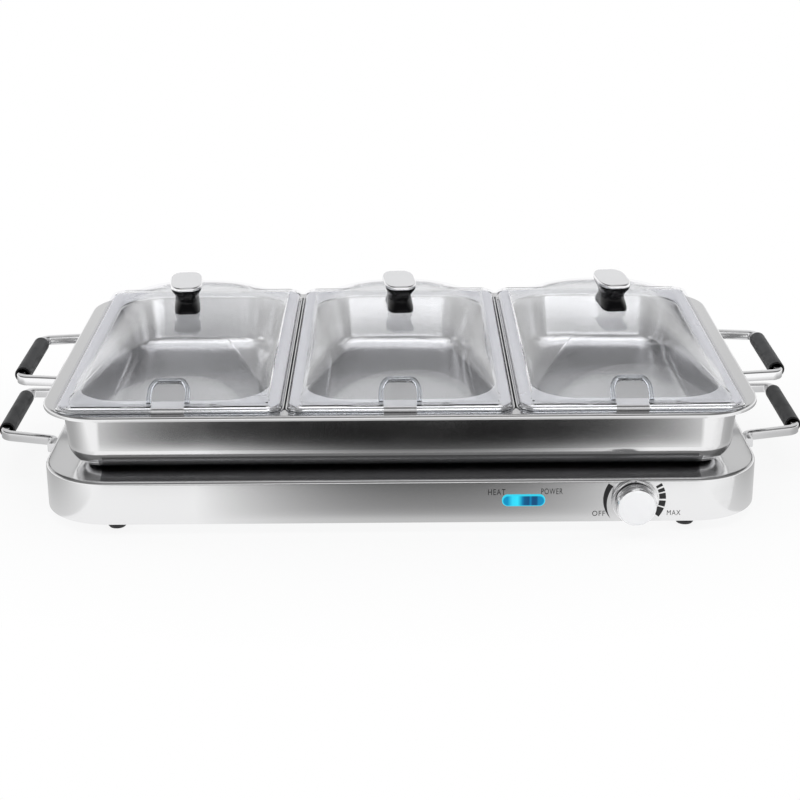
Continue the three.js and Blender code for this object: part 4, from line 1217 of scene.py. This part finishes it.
# %% Cord gland
GLAND_LINE = (
    (3.7, -6.1, 0), (7.0, -6.1, 0.3), (8.0, -1.1, 0.2), (7.0, -1.1, 0), (7.0, 0.3, 0), (10.5, 0.3, 0.3),
    (10.5, 3.3, 0.8), (7.8, 3.3, 0.4), (7.8, 5.0, 0.2), (7.3, 5.5, 0.2), (7.7, 6.0, 0.2), (7.7, 7.2, 0.2),
    (7.2, 7.7, 0.2), (7.6, 8.2, 0.2), (7.6, 9.4, 0.2), (7.1, 9.9, 0.2), (7.5, 10.4, 0.2), (7.5, 12.3, 0.9),
    (3.7, 12.3, 0.5), (3.7, -6.1, 0),
)


def cord_gland():
    bm = bmesh.new()
    spun(bm, softened([(r * MM, a * MM, soft * MM) for r, a, soft in GLAND_LINE]))
    placed(bm, (gland_centre.x, rear_plane, PANEL_MID), BACKWARD)
    return finished(bm, "moulded_cord_gland", "base", "black_plastic", "cord_gland")


told(cord_gland())

# %% [markdown]
# A handle is one flat bar, bent four times: its feet lie along the wall, its arms come out and the cross
# bar runs through the grip. A rounded section is carried along that path: straight runs are extrusions and
# bends are spins, which keeps every bend a true arc.

# %% Carried sections
BEND_STEPS = 10


class Carrier:
    """Carries a loop of edges through straight runs and bends in the XY plane."""

    def __init__(self, bm, edges, place, heading):
        self.bm, self.edges = bm, edges
        self.place, self.heading = Vector(place), heading

    def ahead(self):
        return Vector((math.cos(self.heading), math.sin(self.heading), 0))

    def run(self, length):
        made = bmesh.ops.extrude_edge_only(self.bm, edges=self.edges)["geom"]
        self.edges = [item for item in made if isinstance(item, bmesh.types.BMEdge)]
        step = self.ahead() * length
        bmesh.ops.translate(self.bm, vec=step, verts=verts_of(self.edges))
        self.place += step

    def bend(self, angle, radius):
        side = Vector((-self.ahead().y, self.ahead().x, 0)) * math.copysign(radius, angle)
        centre = self.place + side
        made = bmesh.ops.spin(self.bm, geom=verts_of(self.edges) + self.edges, cent=centre, axis=(0, 0, 1),
                              angle=angle, steps=BEND_STEPS, use_merge=False, use_duplicate=False)
        self.edges = [item for item in made["geom_last"] if isinstance(item, bmesh.types.BMEdge)]
        self.place = centre + Matrix.Rotation(angle, 3, "Z") @ -side
        self.heading += angle


# %% Handle bars
BAR_THICK = 7 * MM
BAR_HEIGHT = 8 * MM
BAR_SOFT = 1.1 * MM
BAR_FOOT = 15 * MM
BAR_HALF_SPAN = 62.7 * MM
BAR_REACH = 50 * MM
BAR_LEAN = math.radians(8)
BAR_BEND = 7.8 * MM
BAR_FOOT_BEND = 7 * MM
BAR_STEPS = 5
FIT = 0.3 * MM
HANDLE_RISE = {"base": math.radians(3.5), "frame": 0.0}
frame_low, frame_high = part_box("frame_tray")
RIM_OVERHANG = 15 * MM
WALL_X = {"base": base_high.x, "frame": frame_high.x - RIM_OVERHANG}


def handle_bar(owner, side, sign):
    node = f"{owner}_handle_{side}"
    wall_gap = FIT + BAR_THICK / 2
    lean_in = (BAR_REACH - wall_gap) * math.tan(BAR_LEAN)
    turn = math.pi / 2 - BAR_LEAN
    foot_back = BAR_FOOT_BEND * math.tan(turn / 2)
    bend_back = BAR_BEND * math.tan(turn / 2)
    foot_run = BAR_FOOT + BAR_THICK / 2 - foot_back
    arm_run = (BAR_REACH - wall_gap) / math.cos(BAR_LEAN) - foot_back - bend_back
    cross_run = 2 * (BAR_HALF_SPAN - lean_in - bend_back)
    bm = bmesh.new()
    section = loop(bm, BAR_THICK, BAR_HEIGHT, BAR_SOFT, 0, steps=BAR_STEPS)
    start = (wall_gap, -BAR_HALF_SPAN - BAR_THICK / 2 - BAR_FOOT, 0)
    placed(bm, start, FRONTWARD)
    carrier = Carrier(bm, section, start, math.pi / 2)
    for length, angle, radius in (
        (foot_run, -turn, BAR_FOOT_BEND), (arm_run, turn, BAR_BEND),
        (cross_run, turn, BAR_BEND), (arm_run, -turn, BAR_FOOT_BEND),
    ):
        carrier.run(length)
        carrier.bend(angle, radius)
    carrier.run(foot_run)
    capped(bm, section, carrier.edges)
    bmesh.ops.remove_doubles(bm, verts=bm.verts, dist=MERGE)
    rise = math.tan(HANDLE_RISE[owner])
    for vert in bm.verts:
        vert.co.z += max(0.0, vert.co.x - wall_gap - BAR_THICK / 2) * rise
    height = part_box(node)[0].z + BAR_HEIGHT / 2
    placed(bm, (sign * WALL_X[owner], 0, height), Matrix.Rotation(0 if sign > 0 else math.pi, 4, "Z"))
    return finished(bm, f"plated_{owner}_bar_{side}", owner, "chrome", node)


bars = [handle_bar(owner, side, sign) for owner in OWNERS for side, sign in SIDES]
told(*bars)

# %% [markdown]
# A soft sleeve covers each cross bar. It is turned with rounded ends, and its end faces and bore get a
# second, blacker finish, because there the sleeve is cut and shows no worn skin.

# %% Grip sleeves
GRIP_BORE = 5.8 * MM
GRIP_SOFT = 1.0 * MM
GRIP_LIP = 1.6 * MM


def grip(owner, side):
    node = f"{owner}_grip_{side}"
    low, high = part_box(node)
    middle = middle_of(node)
    half = (high.y - low.y) / 2
    radius = (high.z - low.z) / 2
    bm = bmesh.new()
    spun(bm, softened([
        (GRIP_BORE, -half, 0),
        (radius, -half, GRIP_SOFT),
        (radius, GRIP_LIP - half, 0),
        (radius, half - GRIP_LIP, 0),
        (radius, half, GRIP_SOFT),
        (GRIP_BORE, half, 0),
        (GRIP_BORE, -half, 0),
    ]))
    placed(bm, middle, BACKWARD)
    sleeve = finished(bm, f"sleeve_{owner}_{side}", owner, "grip_rubber", node)

    def is_cut(face):
        outward = Vector((face.center.x - middle.x, 0, face.center.z - middle.z)).length
        return abs(face.center.y - middle.y) > half - GRIP_LIP or outward < radius - GRIP_SOFT

    return refinished(sleeve, is_cut, "grip_lip")


told(*[grip(owner, side) for owner in OWNERS for side, _ in SIDES])

# %% [markdown]
# The frame is a deep tray. Its wide flat rim ends in a short turned-down lip, and the body's walls lean in a
# little on their way to a rounded floor. Loops run over the whole section, down the outside and back up the
# inside, and the last meets the first, so the sheet has its real thickness everywhere. The downward-facing
# lowest part of the long walls, just over the deck, gets a dark copy of the steel as painted shade.

# %% Frame tray
RIM_CORNER = 50 * MM
RIM_SOFT = 2.0 * MM
LIP_DROP = 4 * MM
FRAME_TAPER = 3 * MM
FRAME_FLOOR = 20 * MM
FRAME_STEPS = 10
SHADE_FACING = -0.35
SHADE_SKEW = 0.05


def frame_tray():
    rim_width, rim_depth = frame_high.x - frame_low.x, frame_high.y - frame_low.y
    width, depth = rim_width - 2 * RIM_OVERHANG, rim_depth - 2 * RIM_OVERHANG
    corner = RIM_CORNER - RIM_OVERHANG
    top, bottom = frame_high.z, frame_low.z
    bm = bmesh.new()

    def body(inset, level):
        return loop(bm, width, depth, corner, level, inset)

    def rim(inset, level):
        return loop(bm, rim_width, rim_depth, RIM_CORNER, level, inset)

    def tray_floor(gap, level):
        inset = FRAME_TAPER + gap
        loops = [body(inset, level + FRAME_FLOOR - gap + SUPPORT)]
        loops += edge_loops(bm, width - 2 * inset, depth - 2 * inset, corner - inset, FRAME_FLOOR - gap,
                            level, -1, FRAME_STEPS)
        loops.append(body(inset + FRAME_FLOOR - gap + SUPPORT, level))
        return loops

    outer_floor = tray_floor(0, bottom)
    inner_floor = tray_floor(SHEET, bottom + SHEET)
    rim_edge = edge_loops(bm, rim_width, rim_depth, RIM_CORNER, RIM_SOFT, top, 1)
    loops = [
        *reversed(outer_floor),
        body(0, top - SHEET - SUPPORT),
        body(0, top - SHEET),
        rim(SHEET, top - SHEET),
        rim(SHEET, top - LIP_DROP),
        rim(0, top - LIP_DROP),
        *rim_edge,
        rim(RIM_SOFT + SUPPORT, top),
        body(SHEET, top),
        body(SHEET, top - SUPPORT),
        *inner_floor,
    ]
    wall(bm, loops)
    capped(bm, outer_floor[-1], inner_floor[-1])
    tray = finished(bm, "steel_frame_tray", "frame", "brushed_steel", "frame_tray")

    # Downward-facing faces low on the long walls get painted shade.
    def in_painted_shade(face):
        downward = face.normal.z < SHADE_FACING and abs(face.normal.x) < SHADE_SKEW
        return downward and face.center.z < bottom + FRAME_FLOOR

    refinished(tray, in_painted_shade, "heated_steel")
    holes = map(middle_of, handle_screws["frame"])
    return carved(tray, *[rod(SCREW_HOLE, HOLE_DEPTH, place, SIDEWARD) for place in holes])


told(frame_tray())

# %% [markdown]
# A food pan is drawn from thinner sheet: a flat flange with a rolled-over lip, a rounded mouth with wide
# corners, sloped walls and a rounded floor. The mouth's corners are wider than the flange's, so each level
# gets its own corner radius, which is why the loops are bridged and not scaled.

# %% Food pans
PAN_SHEET = 0.6 * MM
PAN_CORNER = 13 * MM
PAN_LIP_SOFT = 2.6 * MM
PAN_FLANGE_SIDE = 10.6 * MM
PAN_FLANGE_END = 16 * MM
PAN_MOUTH_CORNER = 40 * MM
PAN_MOUTH_SOFT = 3 * MM
PAN_TAPER = 8 * MM
PAN_FLOOR = 9 * MM
PAN_STEPS = 8
LIT_FLANGE_FACING = 0.9


def food_pan(name):
    low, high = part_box(f"food_pan_{name}")
    width, depth, top, floor_z = high.x - low.x, high.y - low.y, high.z, low.z + PAN_SHEET
    mouth_width, mouth_depth = width - 2 * PAN_FLANGE_SIDE, depth - 2 * PAN_FLANGE_END
    lip_bottom = frame_high.z + FIT
    bm = bmesh.new()

    def edge(inset, level):
        return loop(bm, width, depth, PAN_CORNER, level, inset)

    def pan_wall(inset, level):
        return loop(bm, mouth_width, mouth_depth, PAN_MOUTH_CORNER, level, inset)

    def mouth(extra, level):
        """The rounded mouth, from the flange to the wall."""
        loops = []
        for step in range(EDGE_STEPS + 1):
            angle = step / EDGE_STEPS * math.pi / 2
            inset = PAN_MOUTH_SOFT * math.sin(angle) - extra * math.sin(angle)
            drop = (PAN_MOUTH_SOFT - extra) * (1 - math.cos(angle))
            loops.append(pan_wall(inset, level - drop))
        return loops

    def pan_floor(extra, level):
        inset = PAN_MOUTH_SOFT + PAN_TAPER - extra
        loops = edge_loops(bm, mouth_width - 2 * inset, mouth_depth - 2 * inset, PAN_MOUTH_CORNER - inset,
                           PAN_FLOOR + extra, level, -1, PAN_STEPS)
        loops.append(pan_wall(inset + PAN_FLOOR + extra + SUPPORT, level))
        return loops

    outer_floor = pan_floor(PAN_SHEET, floor_z - PAN_SHEET)
    inner_floor = pan_floor(0, floor_z)
    lip_top = edge_loops(bm, width, depth, PAN_CORNER, PAN_LIP_SOFT, top, 1)
    under_soft = PAN_LIP_SOFT - PAN_SHEET
    lip_under = edge_loops(bm, width - 2 * PAN_SHEET, depth - 2 * PAN_SHEET, PAN_CORNER - PAN_SHEET,
                           under_soft, top - PAN_SHEET, 1)
    loops = [
        *reversed(outer_floor),
        *reversed(mouth(PAN_SHEET, top - PAN_SHEET)),
        *reversed(lip_under),
        edge(PAN_SHEET, lip_bottom),
        edge(0, lip_bottom),
        *lip_top,
        edge(PAN_LIP_SOFT + SUPPORT, top),
        pan_wall(-SUPPORT, top),
        *mouth(0, top),
        *inner_floor,
    ]
    wall(bm, loops)
    capped(bm, outer_floor[-1], inner_floor[-1])
    placed(bm, ((low.x + high.x) / 2, (low.y + high.y) / 2, 0))
    pan = finished(bm, f"steel_pan_{name}", f"pan_{name}", "pan_steel", f"food_pan_{name}")

    # Up-facing flange faces get the paler copy as painted light.
    def on_painted_light_flange(face):
        return face.normal.z > LIT_FLANGE_FACING and face.center.z > top - PAN_SHEET / 2

    return refinished(pan, on_painted_light_flange, "pan_flange")


told(*[food_pan(name) for name in PANS])

# %% [markdown]
# A lid is one clear moulding: a skirt with a small step, a flat flange and a dome that is steep at the
# sides and flatter along its length. The dome is made from shrinking loops, and every point is then lifted
# by a formula. Thick walls matter here, because light bends at both faces of clear plastic.

# %% Lid shells
LID_CORNER = 15 * MM
LID_WALL = 1.7 * MM
SKIRT_WALL = 1.2 * MM
LID_STEP = 1 * MM
LID_STEP_DROP = 3.2 * MM
LID_SOFT = 0.8 * MM
LID_SOFT_STEPS = 3
LID_CORNER_STEPS = 8
LID_STEP_SOFT = 0.3 * MM
FOOT_EDGE = 0.2 * MM
SKIRT_CLEARANCE = 0.5 * MM
SKIRT_FOOT = 0.7 * MM
SIDE_FACING = 0.8
SIDE_ZONE = 12.5 * MM
DOME_INSET = 8 * MM
DOME_HEIGHT = 33.1 * MM
DOME_CORNER = 11 * MM
DOME_SIDE_POWER = 2.8
DOME_END_POWER = 4
DOME_SHARES = (0.985, 0.965, 0.94, 0.91, 0.87, 0.82, 0.76, 0.69, 0.61, 0.52, 0.42, 0.31, 0.2, 0.09)
DOME_SIDE_CUTS = 9
NOTCH_WIDTH = 27 * MM
NOTCH_RISE = 11.2 * MM
NOTCH_CORNER = 5.4 * MM
NOTCH_REACH = 52 * MM
NOTCH_OVERRUN = 4 * MM
lid_low, lid_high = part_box("lid_middle")
LID_SIZE = lid_high - lid_low
pan_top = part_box("food_pan_middle")[1].z
LID_FLANGE = pan_top + FIT + LID_WALL
LID_MIDDLE = {name: underside(f"lid_{name}")[0] for name in PANS}


def swell(x, y, width, depth):
    """The dome's height at a place, as a share of its full height."""
    across = 1 - min(1, 2 * abs(x) / width) ** DOME_SIDE_POWER
    along = 1 - min(1, 2 * abs(y) / depth) ** DOME_END_POWER
    return across * along


def connected(edge):
    """Every vertex of the loose loop that an edge belongs to, always in the same order."""
    found, waiting = {}, [edge.verts[0]]
    while waiting:
        vert = waiting.pop()
        if vert not in found:
            found[vert] = True
            waiting += [link.other_vert(vert) for link in vert.link_edges]
    return list(found)


def divided(bm, edges):
    """Divides the straight sides of a loop, so that they can curve, and gives the loop's vertices."""
    sides = [edge for edge in edges if edge.calc_length() > DOME_CORNER]
    bmesh.ops.subdivide_edges(bm, edges=sides, cuts=DOME_SIDE_CUTS)
    return connected(edges[0])


def edges_of(verts):
    return list(dict.fromkeys(edge for vert in verts for edge in vert.link_edges))


def dome(bm, inset, level):
    """Shrinking loops, each lifted to the dome's height over a level."""
    width, depth = LID_SIZE.x - 2 * (DOME_INSET + inset), LID_SIZE.y - 2 * (DOME_INSET + inset)
    loops = []
    for share in (1.0, *DOME_SHARES):
        verts = divided(bm, loop(bm, width, depth, DOME_CORNER - inset, 0, steps=LID_CORNER_STEPS))
        bmesh.ops.scale(bm, vec=(share, share, 1), verts=verts)
        for vert in verts:
            vert.co.z = level + DOME_HEIGHT * swell(vert.co.x, vert.co.y, width, depth)
        loops.append(edges_of(verts))
    return loops


def lid_shell(name):
    top, bottom = LID_FLANGE, frame_high.z + SKIRT_CLEARANCE
    under = top - LID_WALL
    bm = bmesh.new()

    def skirt(inset, level):
        made = loop(bm, LID_SIZE.x, LID_SIZE.y, LID_CORNER, level, inset, LID_CORNER_STEPS)
        return edges_of(divided(bm, made))

    inner = LID_STEP + SKIRT_WALL
    step_z = top - LID_STEP_DROP
    soft = [skirt(LID_STEP + inset, top - drop) for inset, drop in quarter(LID_SOFT, LID_SOFT_STEPS)]
    outer_dome = dome(bm, 0, top)
    inner_dome = dome(bm, LID_WALL, under)
    loops = [
        *reversed(inner_dome),
        skirt(inner, under),
        skirt(inner, step_z - LID_STEP),
        skirt(SKIRT_WALL, step_z - 2 * LID_STEP),
        skirt(SKIRT_WALL, bottom + SKIRT_FOOT),
        skirt(SKIRT_WALL, bottom),
        skirt(FOOT_EDGE, bottom),
        skirt(0, bottom + FOOT_EDGE),
        skirt(0, bottom + SKIRT_FOOT),
        skirt(0, step_z - LID_STEP_SOFT),
        skirt(LID_STEP_SOFT, step_z),
        skirt(LID_STEP, step_z),
        *soft,
        skirt(LID_STEP + LID_SOFT + SUPPORT, top),
        *outer_dome,
    ]
    wall(bm, loops)
    capped(bm, inner_dome[-1], outer_dome[-1])
    placed(bm, (LID_MIDDLE[name], 0, 0))
    shell = finished(bm, f"clear_lid_{name}", f"cover_{name}", "clear_plastic", f"lid_{name}")

    def zone(face):
        """2 along the lid's sides, 1 at its foot, which is darkened as painted shade, and 0 elsewhere."""
        inboard = LID_SIZE.x / 2 - abs(face.center.x - LID_MIDDLE[name])
        if inboard < SIDE_ZONE and (face.center.z > under - LID_WALL or abs(face.normal.x) > SIDE_FACING):
            return 2
        return face.center.z < bottom + SKIRT_FOOT

    return refinished(shell, zone, "clear_foot", "clear_side")


# %% [markdown]
# At the front of each lid a squarish notch lets a spoon stay in the pan. An arch-shaped bar cuts it through
# the dome, the flange and the skirt. The arch is itself a rounded rectangle whose lower part lies below.

# %% Spoon notches and lids
NOTCH_STEPS = 8


def lid(name):
    top = LID_FLANGE + NOTCH_RISE
    bottom = frame_high.z - NOTCH_OVERRUN - NOTCH_CORNER
    levels = (NOTCH_OVERRUN - lid_low.y, -(lid_low.y + NOTCH_REACH + NOTCH_OVERRUN))
    place = (LID_MIDDLE[name], 0, (top + bottom) / 2)
    notch = rounded_bar(NOTCH_WIDTH, top - bottom, NOTCH_CORNER, levels, place, NOTCH_STEPS)
    bore = rod(SCREW_HOLE, 6 * HOLE_DEPTH, (LID_MIDDLE[name], 0, LID_FLANGE + DOME_HEIGHT))
    return carved(lid_shell(name), notch, bore)


told(*[lid(name) for name in PANS])

# %% [markdown]
# A round bead edges the notch and stiffens it. It follows the line where the arch meets the dome: for each
# point of the arch, the formula of the dome is searched for the place where the dome is as high as the
# point. A curve with a round bevel carries the bead along these places.

# %% Notch beads
BEAD_RADIUS = 2.1 * MM
BEAD_OUT = 2.1 * MM
BEAD_STEPS = 8
BEAD_FOOT_SHARES = (0, 0.35, 0.7)
BEAD_FINENESS = 4


def dome_front(x, height):
    """The Y of the dome's front slope at an X and a height over the flange."""
    width, depth = LID_SIZE.x - 2 * DOME_INSET, LID_SIZE.y - 2 * DOME_INSET
    across = 1 - min(1, 2 * abs(x) / width) ** DOME_SIDE_POWER
    share = 1 - min(1, height / (DOME_HEIGHT * across))
    return -depth / 2 * share ** (1 / DOME_END_POWER) if height > 0 else -depth / 2


def bead_line():
    """Places along the bead, from the foot of one side over the arch to the other foot."""
    half = NOTCH_WIDTH / 2 + BEAD_OUT
    corner = NOTCH_CORNER + BEAD_OUT
    rise = NOTCH_RISE + BEAD_OUT
    side = [(half, share * (rise - corner)) for share in BEAD_FOOT_SHARES]
    for step in range(BEAD_STEPS + 1):
        angle = step / BEAD_STEPS * math.pi / 2
        side.append((half - corner + corner * math.cos(angle), rise - corner + corner * math.sin(angle)))
    arch = side + [(-x, z) for x, z in reversed(side)]
    return [(x, dome_front(x, z), z) for x, z in arch]


def notch_bead(name):
    curve = bpy.data.curves.new(f"bead_{name}", "CURVE")
    curve.dimensions = "3D"
    curve.bevel_depth = BEAD_RADIUS
    curve.bevel_resolution = BEAD_FINENESS
    curve.use_fill_caps = True
    places = bead_line()
    spline = curve.splines.new("POLY")
    spline.points.add(len(places) - 1)
    for point, (x, y, z) in zip(spline.points, places):
        point.co = (LID_MIDDLE[name] + x, y, LID_FLANGE + z, 1)
    return finished(meshed(curve), f"notch_bead_{name}", f"cover_{name}", "clear_edge", slot="clear_plastic")


told(*[notch_bead(name) for name in PANS])

# %% [markdown]
# The lid knob is a glossy black post, long from front to back and waisted across, under a plated cap. The
# post is bridged from loops whose width and length follow one smooth waist curve. Both were screwed down a
# few degrees off straight.

# %% Lid knob posts and caps
POST_BASE = (22.5 * MM, 50 * MM)
POST_WAIST = (21 * MM, 46 * MM)
POST_TOP = (26.5 * MM, 53 * MM)
POST_CORNERS = (0.26, 0.485)
POST_STEPS = 18
WAIST_POWER = 1.7
POST_SOFT = 0.5 * MM
POST_TURN = Matrix.Rotation(math.radians(5.5), 4, "Z")
CAP_CORNER = 9.5 * MM
CAP_SOFT = 1.1 * MM
CAP_FLAT = 0.95


def blend(start, stop, share):
    return start + (stop - start) * share


def oval(bm, width, length, corner_share, height):
    """A rounded square of edges, stretched to a length, so that its corners are longer than they are wide."""
    edges = loop(bm, width, width, width * corner_share, height)
    bmesh.ops.scale(bm, vec=(1, length / width, 1), verts=verts_of(edges))
    return edges


def post(name):
    node = f"lid_knob_post_{name}"
    low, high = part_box(node)
    height = high.z - low.z
    bm = bmesh.new()
    loops = []
    for step in range(POST_STEPS + 1):
        share = step / POST_STEPS
        waist = math.sin(math.pi * share) ** WAIST_POWER
        width, length = [blend(blend(base, top, share), middle, waist)
                         for base, middle, top in zip(POST_BASE, POST_WAIST, POST_TOP)]
        loops.append(oval(bm, width, length, blend(*POST_CORNERS, waist), share * height))
    ends = [oval(bm, width - 2 * POST_SOFT, length - 2 * POST_SOFT, POST_CORNERS[0], level)
            for (width, length), level in ((POST_BASE, 0), (POST_TOP, height))]
    wall(bm, [ends[0], *loops, ends[1]])
    capped(bm, *ends)
    placed(bm, underside(node), POST_TURN)
    return finished(bm, f"black_post_{name}", f"cover_{name}", "black_plastic", node)


def cap(name):
    node = f"lid_knob_cap_{name}"
    low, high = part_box(node)
    width, length, height = high - low
    bm = bmesh.new()
    under = edge_loops(bm, width, width, CAP_CORNER, CAP_SOFT / 2, 0, -1)
    over = edge_loops(bm, width, width, CAP_CORNER, CAP_SOFT, height, 1)
    face = loop(bm, width, width, CAP_CORNER, height, CAP_SOFT + SUPPORT)
    wall(bm, [*reversed(under), *over, face])
    capped(bm, under[-1], face)
    bmesh.ops.scale(bm, vec=(1, length / width, 1), verts=bm.verts)
    placed(bm, underside(node), POST_TURN)
    plated = finished(bm, f"plated_cap_{name}", f"cover_{name}", "chrome", node)
    return refinished(plated, lambda face: face.normal.z > CAP_FLAT, "satin_plate")


told(*[maker(name) for name in PANS for maker in (post, cap)])

# %% [markdown]
# Fifteen screws hold the feet, the handles and the lid knobs. They are alike but for their length, so one
# function turns the domed head and the shank, and a pair of crossed bars cuts the recess.

# %% Screws
SCREW_RADIUS = 2 * MM
SCREW_HEAD = 3.8 * MM
RECESS_WIDTH = 0.9 * MM
RECESS_LENGTH = 4.2 * MM
TALL_HEAD = 2.2 * MM
FLAT_HEAD = 1.4 * MM
CROWN_SHARE = 0.72
DOME_SHARE = 0.45
CROWN_SOFT = 0.5 * MM
DOME_SOFT = 0.3 * MM
POINT_LENGTH = 1.2 * MM
POINT_SOFT = 0.2 * MM
SCREW_STEPS = 28


def recess_bar(size, place, turn):
    """A cutter: one bar of a screw's cross."""
    bm = bmesh.new()
    bmesh.ops.create_cube(bm, size=1)
    bmesh.ops.scale(bm, vec=size, verts=bm.verts)
    placed(bm, place, turn)
    return stood(bm, "cutter")


def screw(node, body, head_height, turn):
    """A screw whose head points back along its own axis. The turn leads +Z to the tip."""
    low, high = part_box(node)
    middle = middle_of(node)
    tip = abs((turn.to_3x3().inverted() @ (high - low)).z) / 2
    seat = head_height - tip
    bm = bmesh.new()
    spun(bm, softened([
        (0, -tip, 0),
        (SCREW_HEAD * CROWN_SHARE, -tip, CROWN_SOFT),
        (SCREW_HEAD, seat - head_height * DOME_SHARE, DOME_SOFT),
        (SCREW_HEAD, seat, 0),
        (SCREW_RADIUS, seat, 0),
        (SCREW_RADIUS, tip - POINT_LENGTH, POINT_SOFT),
        (SCREW_RADIUS / 2, tip, 0),
        (0, tip, 0),
    ]), steps=SCREW_STEPS)
    placed(bm, middle, turn)
    made = finished(bm, f"steel_{node}", body, "zinc_steel", node)
    head = middle + turn.to_3x3() @ Vector((0, 0, -tip))
    cross = ((RECESS_LENGTH, RECESS_WIDTH, head_height), (RECESS_WIDTH, RECESS_LENGTH, head_height))
    return carved(made, *[recess_bar(size, head, turn) for size in cross])


UPWARD = Matrix.Identity(4)
screws = [screw(node, "base", TALL_HEAD, UPWARD) for node in corners("foot_screw")]
for owner, nodes in handle_screws.items():
    for node in nodes:
        outward = SIDEWARD if node.endswith("right") else SIDEWARD.inverted()
        screws.append(screw(node, owner, FLAT_HEAD, outward))
screws += [screw(f"lid_screw_{name}", f"cover_{name}", TALL_HEAD, UPWARD) for name in PANS]
print("screws", len(screws), "each", len(screws[0].data.polygons), "faces")

# %% [markdown]
# The heater, the thermostat, the lamps and the wires stay as the model has them. They are inside the closed
# base, so they only need the right finish, which replaces the plain colour that they came with.

# %% Inner pieces
INNER = {
    "aluminium": ("heat_spreader", "thermal_fuse"),
    "zinc_steel": ("heating_element", "element_cover", "thermostat_nut"),
    "insulation": ("insulation_board",),
    "white_plastic": ("thermostat_body", "lamp_holder", "terminal_block"),
    "lamp_glass": ("heat_lamp", "power_lamp"),
    "brass": ("thermostat_shaft",),
    "wire_red": ("wire_terminal_to_thermostat",),
    "wire_blue": ("wire_terminal_to_element",),
    "wire_white": ("wire_thermostat_to_element",),
}
for finish, nodes in INNER.items():
    for node in nodes:
        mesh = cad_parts[node].data
        mesh.materials.clear()
        mesh.materials.append(FINISH[finish])
print("inner pieces", sum(len(nodes) for nodes in INNER.values()))
